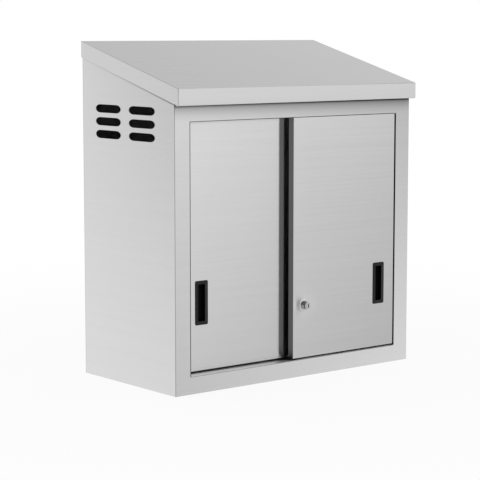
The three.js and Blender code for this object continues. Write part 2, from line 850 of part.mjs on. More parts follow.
// The shelf: a tray turned upside down, with lips that sit on the clips
function shelf() {
  const x = shelfHalfWidth;
  const [y0, y1] = shelfY;
  return cut(
    block([-x, x], [y0, y1], [clipSeatTop, shelfTop]),
    block([sheet - x, x - sheet], [y0 + sheet, y1 - sheet], [clipSeatTop + sheet, shelfTop - sheet]),
    block([shelfLip - x, x - shelfLip], [y0 + shelfLip, y1 - shelfLip],
      [clipSeatTop - cutOverrun, clipSeatTop + 2 * sheet]));
}

function shelfStiffener() {
  const middleY = (shelfY[0] + shelfY[1]) / 2;
  const outline = hatOutline(shelfHatDepth).map(([across, down]) => [
    middleY + across, shelfTop - sheet - down]);
  return alongX(outline, sheet + seatGap - shelfHalfWidth, shelfHalfWidth - sheet - seatGap);
}

// A rubber buffer on a jamb, where a closed door rests its edge
function jambBuffer(laneY, z) {
  return rod('x', bufferRadius, openingHalf - doorEdgeGap + seatGap, openingHalf, [laneY, z]);
}

// The cabinet's fixed pieces
function buildCabinet(cabinet) {
  add(cabinet, 'hood', hood(), brushedSteel());
  add(cabinet, 'roof_stiffener', roofStiffener(), plainSteel());
  add(cabinet, 'front_frame', cut(frontFrame(), sillHole()), brushedSteel());
  add(cabinet, 'left_side_panel', mirrorX(sidePanel()), brushedSteel());
  add(cabinet, 'right_side_panel', sidePanel(), brushedSteel());
  add(cabinet, 'back_panel', backPanel(), brushedSteel());
  add(cabinet, 'floor_pan', floorPan(), brushedSteel());
  add(cabinet, 'floor_stiffener', floorStiffener(), plainSteel());
  add(cabinet, 'wall_rail_upper', wallRail(upperRailCentre), plainSteel());
  add(cabinet, 'wall_rail_lower', wallRail(lowerRailCentre), plainSteel());
  add(cabinet, 'upper_track', upperTrack(), plainSteel());
  add(cabinet, 'track_stop_front', trackStop(frontLaneY, -1), rubber());
  add(cabinet, 'track_stop_back', trackStop(backLaneY, 1), rubber());
  add(cabinet, 'floor_guide', floorGuide(), blackPlastic());
  add(cabinet, 'floor_guide_screw', guideScrew(), plainSteel());
}

// The shelf with its strips and clips
function buildShelf(cabinet) {
  const places = { front: sillBackY + pilasterFrontFromSill, back: backY - pilasterBackFromWall };
  for (const [end, y] of Object.entries(places)) {
    add(cabinet, `pilaster_right_${end}`, pilaster(), plainSteel(), [0, y, 0]);
    add(cabinet, `pilaster_left_${end}`, mirrorX(pilaster()), plainSteel(), [0, y, 0]);
    add(cabinet, `shelf_clip_right_${end}`, shelfClip(), plainSteel(), [0, y, 0]);
    add(cabinet, `shelf_clip_left_${end}`, mirrorX(shelfClip()), plainSteel(), [0, y, 0]);
  }
  add(cabinet, 'shelf', shelf(), brushedSteel());
  add(cabinet, 'shelf_stiffener', shelfStiffener(), plainSteel());
}

// Two buffers for each door, on the jamb that it closes against
function buildBuffers(cabinet) {
  const heights = { upper: doorTop - bufferFromDoorEnd, lower: doorBottom + bufferFromDoorEnd };
  for (const [end, z] of Object.entries(heights)) {
    add(cabinet, `jamb_buffer_right_${end}`, jambBuffer(frontLaneY, z), rubber());
    add(cabinet, `jamb_buffer_left_${end}`, mirrorX(jambBuffer(backLaneY, z)), rubber());
  }
}

// A door with its liner, pull, hangers, screws, axles and wheels
function buildDoor(cabinet, side, laneY, sign, lockX) {
  const door = groupAt(cabinet, sign * doorCentreX, laneY, 0);
  const pullX = sign * (doorWidth / 2 - pullFromDoorEdge);
  add(door, `${side}_door_skin`, doorSkin(pullX, lockX), brushedSteel());
  add(door, `${side}_door_liner`, doorLiner(lockX), brushedSteel());
  add(door, `${side}_door_pull`, doorPull(), blackPlastic(), [pullX, 0, pullCentreHeight]);
  for (const [end, x] of [['a', -hangerX], ['b', hangerX]]) {
    add(door, `${side}_door_hanger_${end}`, hanger(), plainSteel(), [x, 0, 0]);
    add(door, `${side}_door_hanger_screw_${end}`, hangerScrew(), plainSteel(), [x, 0, 0]);
    add(door, `${side}_door_axle_${end}`, axle(), plainSteel(), [x, 0, axleHeight]);
    add(door, `${side}_door_wheel_${end}`, wheel(), nylon(), [x, 0, axleHeight]);
  }
  return door;
}

// The push lock, near the inner edge of the right door
function buildLock(door, lockX) {
  const lock = groupAt(door, lockX, 0, lockHeight);
  add(lock, 'lock_housing', lockHousing(), chrome());
  add(lock, 'lock_nut', lockNut(), plainSteel());
  add(lock, 'lock_spring', lockSpring(), plainSteel());
  add(lock, 'lock_barrel', lockBarrel(), chrome());
  add(lock, 'lock_key_plug', keyPlug(), chrome());
}

function buildAll() {
  const cabinet = new THREE.Group();
  buildCabinet(cabinet);
  buildShelf(cabinet);
  buildBuffers(cabinet);
  const lockX = lockFromDoorEdge - doorWidth / 2;
  buildDoor(cabinet, 'left', backLaneY, -1, null);
  const rightDoor = buildDoor(cabinet, 'right', frontLaneY, 1, lockX);
  buildLock(rightDoor, lockX);
  return cabinet;
}

export default buildAll();
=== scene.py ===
# %% [markdown]
# # A stainless steel wall cabinet
# The construction of the cabinet comes in as a fixed frame: every sheet, wheel and lock piece is
# already at its real size and place. This lesson gives it its looks. It could be textured as it
# is, but its folds are sharp and its round pieces are faceted. So the sheets are copied with
# rounded folds, and the small pieces are turned or moulded afresh in the same places.

# %% Load the frame
import json
import math
import bmesh
import bpy
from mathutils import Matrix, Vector


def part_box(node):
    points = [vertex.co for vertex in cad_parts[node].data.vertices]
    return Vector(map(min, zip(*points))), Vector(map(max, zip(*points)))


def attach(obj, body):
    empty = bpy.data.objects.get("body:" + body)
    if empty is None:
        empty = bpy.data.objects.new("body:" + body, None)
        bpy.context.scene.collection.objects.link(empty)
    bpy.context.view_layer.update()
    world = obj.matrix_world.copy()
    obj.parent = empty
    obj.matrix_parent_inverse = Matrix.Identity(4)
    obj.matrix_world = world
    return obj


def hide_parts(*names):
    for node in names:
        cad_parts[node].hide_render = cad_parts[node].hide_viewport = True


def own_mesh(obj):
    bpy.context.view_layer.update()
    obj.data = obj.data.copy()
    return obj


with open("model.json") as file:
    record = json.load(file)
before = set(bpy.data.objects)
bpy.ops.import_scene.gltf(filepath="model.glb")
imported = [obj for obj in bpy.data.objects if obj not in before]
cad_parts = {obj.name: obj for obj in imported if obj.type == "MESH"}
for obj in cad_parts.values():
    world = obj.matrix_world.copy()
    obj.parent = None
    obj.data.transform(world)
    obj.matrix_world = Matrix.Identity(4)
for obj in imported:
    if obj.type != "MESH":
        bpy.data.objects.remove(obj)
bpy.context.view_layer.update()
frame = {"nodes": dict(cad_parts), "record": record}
record = frame["record"]
BODY_OF = {node: body for body, nodes in record["behaviour"]["bodies"].items() for node in nodes}
MM = 0.001

# %% [markdown]
# ## Camera
# The photograph looks from the front left, slightly from above, through a long lens. The camera
# could be placed by eye, but its place, turn and lens were worked out from the straight edges in
# the photograph and the real sizes of the cabinet.

# %% Camera
CAMERA_PLACE = (-2.7894, -3.3952, 0.8675)
CAMERA_TURN = 0.6809
CAMERA_TILT = -0.1218
LENS = 129.17 * MM
SENSOR = 36 * MM


def added(name, data):
    """A new object in the scene."""
    item = bpy.data.objects.new(name, data)
    bpy.context.scene.collection.objects.link(item)
    return item


camera = added("camera", bpy.data.cameras.new("camera"))
camera.data.sensor_width = SENSOR / MM
camera.data.lens = LENS / MM
camera.location = CAMERA_PLACE
camera.rotation_euler = (math.pi / 2 + CAMERA_TILT, 0, -CAMERA_TURN)
bpy.context.scene.camera = camera
print("camera:", CAMERA_PLACE, "lens:", round(camera.data.lens, 1), "mm")

# %% [markdown]
# ## Shader maths as plain arithmetic
# A finish is a tree of nodes. Wiring each Math node by hand hides what is worked out, so a small
# class wraps one output of a node, and adding or multiplying two of them adds the node that does
# it. A comparison gives 1 where it holds and 0 elsewhere.

# %% Signals
class Signal:
    """One output of a shader node. Arithmetic on it adds Math nodes to its finish."""

    def __init__(self, finish, socket):
        self.finish = finish
        self.socket = socket

    def math(self, operation, *others):
        """A Math node with this signal in its first socket."""
        inputs = dict(enumerate((self, *others)))
        return self.finish.node("ShaderNodeMath", {"operation": operation}, inputs)

    def __add__(self, other):
        return self.math("ADD", other)

    def __sub__(self, other):
        return self.math("SUBTRACT", other)

    def __rsub__(self, other):
        return self.math("MULTIPLY_ADD", -1.0, other)

    def __mul__(self, other):
        return self.math("MULTIPLY", other)

    def __gt__(self, other):
        return self.math("GREATER_THAN", other)

    def __lt__(self, other):
        return self.math("LESS_THAN", other)

    def __abs__(self):
        return self.math("ABSOLUTE")

    __radd__ = __add__
    __rmul__ = __mul__


print("signals are ready")

# %% [markdown]
# ## A finish in the making
# Each look is one material with one main shader, and one method makes all of its nodes. Constants
# could be wired like the rest, but they stand on the shader's own sockets, so that a reader sees
# at once what changes over the surface.

# %% Finishes
def grey(level):
    return (level, level, level)


class Finish:
    """A material in the making: a main shader, and the nodes that feed it."""

    def __init__(self, name, shader, settings):
        self.material = bpy.data.materials.new(name)
        self.material.use_nodes = True
        self.tree = self.material.node_tree
        self.tree.nodes.clear()
        self.output = self.tree.nodes.new("ShaderNodeOutputMaterial")
        self.shader = self.node(shader, {}, settings)
        self.surface(self.shader)

    def node(self, kind, settings, sockets, output=0):
        made = self.tree.nodes.new(kind)
        for name, value in settings.items():
            setattr(made, name, value)
        for key, value in sockets.items():
            self.feed(made.inputs[key], value)
        return Signal(self, made.outputs[output])

    def feed(self, socket, value):
        if isinstance(value, Signal):
            self.tree.links.new(value.socket, socket)
        else:
            socket.default_value = value

    def surface(self, signal):
        self.feed(self.output.inputs["Surface"], signal)

    def vary(self, **sockets):
        """Links what changes over the surface to the main shader."""
        for name, value in sockets.items():
            self.feed(self.shader.socket.node.inputs[name.replace("_", " ")], value)

    def place(self):
        """The place on the piece, in metres in the cabinet's own frame."""
        return self.node("ShaderNodeTexCoord", {}, {}, "Object")

    def noise(self, place, scale, detail=2.0, roughness=0.55):
        """Noise from 0 to 1, with a scale in turns per metre along each axis."""
        stretched = self.node("ShaderNodeVectorMath", {"operation": "MULTIPLY"}, {0: place, 1: scale})
        values = {"Vector": stretched, "Scale": 1.0, "Detail": detail, "Roughness": roughness}
        return self.node("ShaderNodeTexNoise", {}, values, "Fac")

    def split(self, vector, axis):
        return self.node("ShaderNodeSeparateXYZ", {}, {0: vector}, axis)

    def measured(self, operation, *vectors):
        """A number from vectors: a length, a distance or a dot product."""
        inputs = dict(enumerate(vectors))
        return self.node("ShaderNodeVectorMath", {"operation": operation}, inputs, "Value")

    def blend(self, share, first, second):
        """A number between two numbers."""
        return self.node("ShaderNodeMix", {"data_type": "FLOAT"}, {0: share, 2: first, 3: second})

    def tint(self, share, first, second):
        """A colour between two colours."""
        values = {0: share, 6: (*first, 1.0), 7: (*second, 1.0)}
        return self.node("ShaderNodeMix", {"data_type": "RGBA"}, values, 2)

    def shaded(self, colour, level):
        """A colour times a number that changes over the surface."""
        factor = self.node("ShaderNodeCombineColor", {}, dict(enumerate(grey(level))))
        settings = {"data_type": "RGBA", "blend_type": "MULTIPLY"}
        return self.node("ShaderNodeMix", settings, {0: 1.0, 6: colour, 7: factor}, 2)

    def limited(self, value):
        """A number kept between 0 and 1."""
        return self.node("ShaderNodeClamp", {}, {"Value": value})

    def bump(self, height, depth, strength=1.0):
        values = {"Height": height, "Distance": depth, "Strength": strength}
        return self.node("ShaderNodeBump", {}, values)


print("finishes are ready")

# %% [markdown]
# ## Floor of the studio
# The photograph's background is plain white, which a studio gets from a lit paper floor. A floor
# that only glows would carry no shadow, and a plain one would look grey. This one is a mix: a
# faint shadow stays near the cabinet, and further out the floor is as white as the background.

# %% Floor
FLOOR_WIDTH = 60.0
FLOOR_COLOUR = 0.9
FLOOR_WHITE_NEAR = 0.88
FLOOR_WHITE_FAR = 1.0
FLOOR_FADE_START = 0.4
FLOOR_FADE_REACH = 2.5
WHITE = (*grey(1.0), 1.0)

floor_mesh = bpy.data.meshes.new("studio_floor")
floor_corners = [(x * FLOOR_WIDTH / 2, y * FLOOR_WIDTH / 2, 0)
                 for x, y in ((-1, -1), (1, -1), (1, 1), (-1, 1))]
floor_mesh.from_pydata(floor_corners, [], [(0, 1, 2, 3)])
added("studio_floor", floor_mesh)


def seen_directly(finish):
    """1 for what the camera sees, also in a mirror or through glass, and 0 for the rest."""
    camera_ray, mirrored, through_glass = [
        finish.node("ShaderNodeLightPath", {}, {}, name)
        for name in ("Is Camera Ray", "Is Glossy Ray", "Is Transmission Ray")]
    return camera_ray.math("MAXIMUM", mirrored).math("MAXIMUM", through_glass)


pale_floor = Finish("pale_floor", "ShaderNodeBsdfDiffuse", {"Color": (*grey(FLOOR_COLOUR), 1.0)})
white_glow = pale_floor.node("ShaderNodeEmission", {}, {"Color": WHITE, "Strength": 1.0})
from_middle = pale_floor.measured("LENGTH", pale_floor.place())
fade = pale_floor.node("ShaderNodeMapRange", {"interpolation_type": "SMOOTHSTEP"}, {
    "Value": from_middle, "From Min": FLOOR_FADE_START, "From Max": FLOOR_FADE_REACH,
    "To Min": FLOOR_WHITE_NEAR, "To Max": FLOOR_WHITE_FAR})
floor_share = seen_directly(pale_floor) * fade
pale_floor.surface(pale_floor.node(
    "ShaderNodeMixShader", {}, {0: floor_share, 1: pale_floor.shader, 2: white_glow}))
pale_floor.material.cycles.emission_sampling = "NONE"
floor_mesh.materials.append(pale_floor.material)
print("floor:", FLOOR_WIDTH, "m wide")

# %% [markdown]
# ## World and lamps
# Steel shows what it mirrors, and in the photograph that is white on all sides. Lamps alone would
# leave black gaps, so a white world gives it. As a light the world is weaker, or it would wash the
# steel out, and two large lamps add a gentle direction to it.

# %% World and lamps
WORLD_LEVEL = 0.8
LAMPS_AIM = Vector((0.0, 0.0, 0.42))

world = bpy.data.worlds.new("white_studio")
world.use_nodes = True
bpy.context.scene.world = world


class Sky(Finish):
    """The world's tree, wired by the same arithmetic."""

    def __init__(self, tree):
        self.tree = tree
        self.tree.nodes.clear()
        self.output = self.tree.nodes.new("ShaderNodeOutputWorld")


sky = Sky(world.node_tree)
sky_level = WORLD_LEVEL + (1.0 - WORLD_LEVEL) * seen_directly(sky)
sky.surface(sky.node("ShaderNodeBackground", {}, {"Color": WHITE, "Strength": sky_level}))
world.cycles.sampling_method = "NONE"


def softbox(name, place, width, height, level):
    """A rectangular lamp of an even brightness, turned to the cabinet's middle."""
    light = bpy.data.lights.new(name, "AREA")
    light.shape = "RECTANGLE"
    light.size = width
    light.size_y = height
    light.energy = level * math.pi * width * height
    lamp = added(name, light)
    lamp.location = place
    lamp.visible_camera = False
    lamp.rotation_euler = (LAMPS_AIM - Vector(place)).to_track_quat("-Z", "Y").to_euler()


softbox("key_softbox", (1.7, -2.2, 1.3), width=3.2, height=0.9, level=0.35)
softbox("top_softbox", (-1.2, -0.6, 2.8), width=1.4, height=1.4, level=1.0)
bpy.context.scene.view_settings.view_transform = "Standard"
print("world:", WORLD_LEVEL, "as a light")

# %% [markdown]
# ## Painted light and shade over a sheet
# No sheet shows one even tone: it is lighter or darker towards a side or corner from what it mirrors,
# and shade gathers under an overhang. Lamps could give that, but not for each sheet by itself. So
# light and shade are painted: a tone is a function of the place on a sheet, and returns how much it adds.

# %% Tones over a sheet
HOOD_LOW, HOOD_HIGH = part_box("hood")
FASCIA_BOTTOM = HOOD_LOW.z
FASCIA_HEIGHT = 40 * MM
FASCIA_LIP = 15 * MM
LIP_BACK = HOOD_LOW.y + FASCIA_LIP
FLANGE_RISE = (HOOD_HIGH.z - FASCIA_HEIGHT - FASCIA_BOTTOM) / (HOOD_HIGH.y - LIP_BACK)
HOOD_SHADES = ((0.55, 44 * MM), (0.6, 8 * MM))
FLANGE_SHADES = ((0.08, 9 * MM), (0.42, 3 * MM))
BODY_HALF_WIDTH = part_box("front_frame")[1].x
BODY_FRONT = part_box("front_frame")[0].y


def middle_of(node):
    low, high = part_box(node)
    return (low + high) / 2


def half_of(node):
    """Half the size of a node along each axis."""
    low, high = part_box(node)
    return (high - low) / 2


def painted_gradient(node, axis, across, up=0.0, twist=0.0):
    """A painted gradient of light and shade over a sheet, along an axis, upwards and towards two corners.
    """
    middle, half = middle_of(node), half_of(node)
    index = "XYZ".index(axis)

    def painted_tone(steel, place):
        along = (steel.split(place, axis) - middle[index]) * (1.0 / half[index])
        rise = (steel.split(place, "Z") - middle.z) * (1.0 / half.z)
        return across * along + up * rise + twist * (along * rise)
    return painted_tone


def close_under(steel, below, reach):
    """1 right under an overhang, and fading to 0 at a distance below it."""
    near = steel.limited(1.0 - below * (1.0 / reach))
    return near * near


def shaded_under(steel, below, shades):
    """The sum of a wide faint shade and a narrow strong one, painted below an overhang, each a strength
    and a reach.
    """
    return -1.0 * sum(strength * close_under(steel, below, reach) for strength, reach in shades)


def painted_shade_under_hood(steel, place):
    """Painted shade on the face under the hood, near its dark underside."""
    return shaded_under(steel, FASCIA_BOTTOM - steel.split(place, "Z"), HOOD_SHADES)


def painted_shade_under_flange(steel, place):
    """Painted shade on the side under the hood's flange, which rises from the lip to the back."""
    edge = FASCIA_BOTTOM + FLANGE_RISE * (steel.split(place, "Y") - LIP_BACK)
    return shaded_under(steel, edge - steel.split(place, "Z"), FLANGE_SHADES)


print("the hood's flange rises by", round(FLANGE_RISE, 3), "per metre")

# %% [markdown]
# ## Painted lines, shade and dull places
# The weld between the face and a side is ground flat, and round the opening the sheet is bent
# inwards, where the bend catches less light. Grooves could be cut for both, but such shallow ones cast
# no shadow, so each is a stripe of painted shade instead: a faint upright one at the weld. Shade
# behind the doors and light by the rail and the lock are painted too, and the steel round the lock is
# rougher.

# %% Lines and dull places
WELD_LINE = (1.2 * MM, 2.4 * MM)
WELD_SHADE = 0.2
BEND_LINE = 2.3 * MM
BEND_START = 0.1 * MM
BEND_SHADE = 0.9
LINE_STRETCH = 1.5
FACE_DEPTH = 1.0 * MM
BEHIND_DOORS_REACH = 14 * MM
BEHIND_DOORS_SHADE = 0.5
RAIL_LIGHT = (0.16, 26 * MM)
SILL_LIGHT = (0.1, 20 * MM)
LOCK_REACH = 60 * MM
LOCK_LIGHT = 0.2
FOOT_REACH = 38 * MM
BACK_DOOR_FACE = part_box("left_door_skin")[0].y
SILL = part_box("floor_guide")[0].z
OPENING_HALF_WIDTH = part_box("jamb_buffer_right_upper")[1].x
OPENING_TOP = 651 * MM  # the lower edge of the top rail
OPENING_MIDDLE = (OPENING_TOP + SILL) / 2
OPENING_HALF_HEIGHT = (OPENING_TOP - SILL) / 2


def painted_weld_shade(steel, place):
    """A fine line of painted shade along the ground weld between the face and a side."""
    corner = abs(steel.split(place, "X")) > BODY_HALF_WIDTH - WELD_LINE[0]
    front = steel.split(place, "Y") < BODY_FRONT + WELD_LINE[1]
    return -WELD_SHADE * (corner * front)


def painted_bend_shade(steel, place):
    """A fine line of painted shade where the sheet was bent inwards, fainter at the sill."""
    across = abs(steel.split(place, "X")) - OPENING_HALF_WIDTH
    up = abs(steel.split(place, "Z") - OPENING_MIDDLE) - OPENING_HALF_HEIGHT
    beyond = across.math("MAXIMUM", LINE_STRETCH * up)
    right_side = steel.split(place, "X") > OPENING_HALF_WIDTH - BEND_LINE
    on_face = steel.split(place, "Y") < BODY_FRONT + FACE_DEPTH
    line = (beyond > BEND_START) * (beyond < BEND_LINE)
    above_sill = 0.5 + 0.5 * (steel.split(place, "Z") > SILL)
    return -BEND_SHADE * (line * on_face * above_sill * (1.0 - right_side))


def painted_light_near_rail(steel, place):
    """Painted light on the top and the foot of the back door, against the shade of the rail and the sill.
    """
    up = steel.split(place, "Z")
    at_top = RAIL_LIGHT[0] * close_under(steel, OPENING_TOP - up, RAIL_LIGHT[1])
    return at_top + SILL_LIGHT[0] * close_under(steel, up - SILL, SILL_LIGHT[1])


def painted_shade_behind_doors(steel, place):
    """Painted shade on the sill from the back door inwards, behind the doors."""
    inwards = steel.split(place, "Y") - BACK_DOOR_FACE
    return -BEHIND_DOORS_SHADE * steel.limited(inwards * (1.0 / BEHIND_DOORS_REACH) + 1.0)


def near_lock(steel, place):
    """1 on the door round the lock, where hands have dulled it, fading to 0."""
    return close_under(steel, steel.measured("DISTANCE", place, middle_of("lock_housing")), LOCK_REACH)


def painted_light_by_lock(steel, place):
    """Painted light round the lock, which makes up for what the dulled steel there loses."""
    return LOCK_LIGHT * near_lock(steel, place)


def painted_shadow_at_foot(steel, place):
    """1 at the foot of a door's edge, where the floor guide's shadow is painted, fading to 0."""
    return close_under(steel, steel.split(place, "Z") - SILL, FOOT_REACH)


print("opening:", round(2 * OPENING_HALF_WIDTH, 3), "by", round(2 * OPENING_HALF_HEIGHT, 3), "m")

# %% [markdown]
# ## Brushed steel
# The sheets were brushed with a belt along their width. Across the scratches light spreads widely,
# and along them hardly: the sheet mirrors upright edges sharply and blurs level ones. The shader's
# anisotropy does that. The scratches could come from a picture, but stretched noise never repeats.

# %% Brushed steel
STEEL_LEVEL = 0.76
STREAKS_LONG = 1.3
STREAKS_FINE = 420.0
STREAKS_BROAD = 60.0
BLOTCHES = 2.2
FINE_SWING = 0.06
BROAD_SWING = 0.03
BLOTCH_TONE, BLOTCH_ROUGHNESS = 0.04, 0.03
BROAD_STREAK = 0.985
SCRATCH_DEPTH = 0.02 * MM
SCRATCH_STRENGTH = 0.25
HOOD_SLOPE = 0.27
ROOF_NORMAL = Vector((0, -HOOD_SLOPE, 1)).normalized()
FLAT_ENOUGH = 0.985
FOLD_STRENGTH = 20.0
FOLD_SHADE = 0.42
SIDE_FACING = 0.7
TURNED_ASIDE = 0.2
LOCK_DULLNESS = 0.3
BRIGHTEST = 2.0


def on_folds(steel, normal):
    """1 where the surface turns aside from one flat face to the next."""
    flat = steel.measured("DOT_PRODUCT", normal, ROOF_NORMAL)
    for axis in "XYZ":
        flat = flat.math("MAXIMUM", abs(steel.split(normal, axis)))
    turned_aside = abs(steel.split(normal, "X")) > TURNED_ASIDE
    return turned_aside * steel.limited(FOLD_STRENGTH * (FLAT_ENOUGH - flat))


def brushed_steel(name, tone, spread, painted_tones, dulled=None):
    """Steel brushed along X, and along Y on the faces that look to the left or right."""
    bright = tone * STEEL_LEVEL
    constants = {"Metallic": 1.0, "Anisotropic": 1.0, "Anisotropic Rotation": 0.25}
    steel = Finish(name, "ShaderNodeBsdfPrincipled", constants)
    place = steel.place()
    normal = steel.node("ShaderNodeTexCoord", {}, {}, "Normal")
    sideways = abs(steel.split(normal, "X")) > SIDE_FACING

    def streaks(fineness):
        along_x = steel.noise(place, (STREAKS_LONG, fineness, fineness))
        along_y = steel.noise(place, (fineness, STREAKS_LONG, fineness))
        return steel.blend(sideways, along_x, along_y)

    fine = streaks(STREAKS_FINE)
    broad = streaks(STREAKS_BROAD)
    blotches = steel.noise(place, (BLOTCHES, BLOTCHES, BLOTCHES))
    level = 1.0 + FINE_SWING * (fine - 0.5) + BROAD_SWING * (broad - 0.5) + BLOTCH_TONE * (blotches - 0.5)
    # Painted light and shade over the sheet.
    for painted_tone in painted_tones:
        level = level + painted_tone(steel, place)
    level = steel.limited(level * (1.0 / BRIGHTEST)) * BRIGHTEST
    # The folds that turn to the left or right get painted shade.
    level = level * (1.0 - FOLD_SHADE * on_folds(steel, normal))
    plain = steel.tint(broad, grey(BROAD_STREAK * bright), grey(bright))
    roughness = spread + FINE_SWING * (fine - 0.5) + BLOTCH_ROUGHNESS * (blotches - 0.5)
    if dulled:
        roughness = roughness + LOCK_DULLNESS * dulled(steel, place)
    steel.vary(
        Base_Color=steel.shaded(plain, level),
        Roughness=roughness,
        Normal=steel.bump(fine, SCRATCH_DEPTH, SCRATCH_STRENGTH))
    return steel.material


print("scratches:", STREAKS_FINE, "per metre")

# %% [markdown]
# ## The finishes of the sheets
# All sheets are of the same steel and could share one finish. But each was brushed by itself and
# mirrors another part of the studio, so each has its own roughness and its own painted level of
# light, found by comparing renders with the photograph.

# %% The finishes of the sheets
door_painted_gradient = painted_gradient("front_frame", "X", across=-0.12, up=0.09)
# Painted level of light, roughness, the painted light and shade over the sheet, and where it is dulled.
BRUSHED = {
    "hood": (0.66, 0.26, [painted_gradient("hood", "X", across=0.055)]),
    "fascia": (0.785, 0.26, [painted_gradient("hood", "X", across=-0.02), painted_gradient("hood", "Y", across=0.03)]),
    "frame": (0.755, 0.26, [painted_gradient("front_frame", "X", across=-0.025, up=-0.065, twist=-0.14),
                            painted_shade_under_hood, painted_bend_shade, painted_weld_shade]),
    "side": (0.849, 0.26, [painted_gradient("left_side_panel", "Y", across=0.055, up=-0.112, twist=0.035),
                           painted_shade_under_flange, painted_weld_shade]),
    "back": (0.84, 0.26, [painted_gradient("back_panel", "X", across=0.03, up=-0.06, twist=0.02)]),
    "door": (0.735, 0.2, [door_painted_gradient, painted_light_by_lock], near_lock),
    "back_door": (0.735, 0.2, [door_painted_gradient, painted_light_near_rail]),
    "sill": (1.06, 0.3, [painted_shade_behind_doors]),
}
FINISHES = {key: brushed_steel("brushed_" + key, *row) for key, row in BRUSHED.items()}
print("brushed:", ", ".join(FINISHES))

# %% [markdown]
# ## Plainer finishes
# The rails and hangers are of dull mill steel, the lock is chrome plated, the pulls and the floor
# guide are grained black plastic, the wheels are nylon and the buffers rubber. Each could be one
# colour, but a little noise in colour, roughness and height makes them read as made things.

# %% Plainer finishes
CLOUDS = 30.0
SWING = 0.08


def grained(name, dark, light, roughness, swing, grain, depth, shade=None, **constants):
    """A finish between two colours, with a swing in roughness, fine grains, and a painted shade where one
    is given.
    """
    settings = {key.replace("_", " "): value for key, value in constants.items()}
    finish = Finish(name, "ShaderNodeBsdfPrincipled", settings)
    place = finish.place()
    small = finish.noise(place, (grain, grain, grain), detail=3.0)
    large = finish.noise(place, (CLOUDS, CLOUDS, CLOUDS))
    colour = finish.tint(0.5 * small + 0.5 * large, dark, light)
    if shade:
        colour = finish.shaded(colour, 1.0 - shade(finish, place))
    finish.vary(
        Base_Color=colour,
        Roughness=roughness + swing * (large - 0.5) + swing * (small - 0.5),
        Normal=finish.bump(small, depth))
    return finish.material


# Name, darker and lighter grey, roughness and its swing, grains per metre, their depth, a painted shade.
METALS = {
    # The edge steel is painted dark as shade, and darker still at a door's foot.
    "edge": ("steel_painted_shade", 0.17, 0.2, 0.3, SWING, 900.0, 0.01 * MM, painted_shadow_at_foot),
    "mill": ("mill_steel", 0.34, 0.42, 0.42, SWING, 500.0, 0.01 * MM),
    "chrome": ("lock_chrome", 0.52, 0.57, 0.14, 0.03, 300.0, 0.002 * MM),
    "satin": ("satin_rim", 0.52, 0.58, 0.38, 0.03, 300.0, 0.002 * MM),
    # The bright rim is a painted highlight on the top of the lock's flange.
    "bright": ("rim_painted_highlight", 0.8, 0.86, 0.16, 0.03, 300.0, 0.002 * MM),
    "plug": ("key_plug_nickel", 0.48, 0.54, 0.25, 0.05, 300.0, 0.004 * MM),
    # The dark chrome is a painted dark reflection on the barrel and painted shade in the key slot.
    "chrome_painted_dark": ("chrome_painted_dark", 0.14, 0.19, 0.2, 0.03, 300.0, 0.002 * MM),
}
# Name, darker and lighter grey, roughness, grain depth, and how much the surface mirrors.
PLASTICS = {
    "black": ("black_plastic", 0.006, 0.011, 0.45, 0.03 * MM, 0.2),
    # The lip is lighter and more mirroring as a painted highlight.
    "lip": ("plastic_painted_highlight", 0.02, 0.03, 0.35, 0.02 * MM, 0.5),
    # The pocket is darker than the rim as painted shade.
    "pocket": ("plastic_painted_shade", 0.002, 0.004, 0.6, 0.02 * MM, 0.04),
}
PLASTIC_GRAIN = 2200.0

for key, (name, dark, light, *rest) in METALS.items():
    FINISHES[key] = grained(name, grey(dark), grey(light), *rest, Metallic=1.0)
for key, (name, dark, light, roughness, depth, mirror) in PLASTICS.items():
    FINISHES[key] = grained(name, grey(dark), grey(light), roughness, SWING, PLASTIC_GRAIN, depth,
                            Specular_IOR_Level=mirror)
FINISHES["nylon"] = grained("natural_nylon", (0.72, 0.7, 0.63), (0.8, 0.785, 0.72), 0.4, SWING, 700.0,
                            0.02 * MM, Subsurface_Weight=0.1)
FINISHES["rubber"] = grained("buffer_rubber", grey(0.014), grey(0.024), 0.75, SWING, 1500.0, 0.04 * MM)
print("finishes:", ", ".join(FINISHES))

# %% [markdown]
# ## Folds
# A press brake leaves a small radius on each fold, and the cut edges are deburred. A Bevel
# modifier with one width would eat the thin edges of the sheet, so each edge gets a weight, and
# is rounded by no more than about a third of the narrower face beside it. At a ground weld the
# edge stays nearly sharp, so that no groove shows.

# %% Folds
FOLD_RADIUS = 1.4 * MM
SEAM_RADIUS = 0.4 * MM
LEAST_RADIUS = 0.01 * MM
SHARP_ANGLE = math.radians(25)
FLAT_ANGLE = math.radians(0.5)
ALONG_EDGE = 0.9
NARROW_CORNER = 0.8
ROOM_SHARE = 0.36
BEVEL_SEGMENTS = 3


def room_beside(edge):
    """How far an edge may be rounded before it meets the rounding of the next."""
    widths = [2 * face.calc_area() / face.calc_perimeter() for face in edge.link_faces]
    for vert in edge.verts:
        along = (edge.other_vert(vert).co - vert.co).normalized()
        for other in vert.link_edges:
            side = other.other_vert(vert).co - vert.co
            cosine = side.normalized().dot(along)
            if other is edge or not set(other.link_faces) & set(edge.link_faces):
                continue
            if other.calc_face_angle(0) < FLAT_ANGLE:
                widths.append(side.length * math.sqrt(max(1 - cosine * cosine, 0)))
            elif cosine > NARROW_CORNER:
                return 0.0
            elif cosine > -ALONG_EDGE:
                widths.append(side.length)
    return ROOM_SHARE * min(widths)


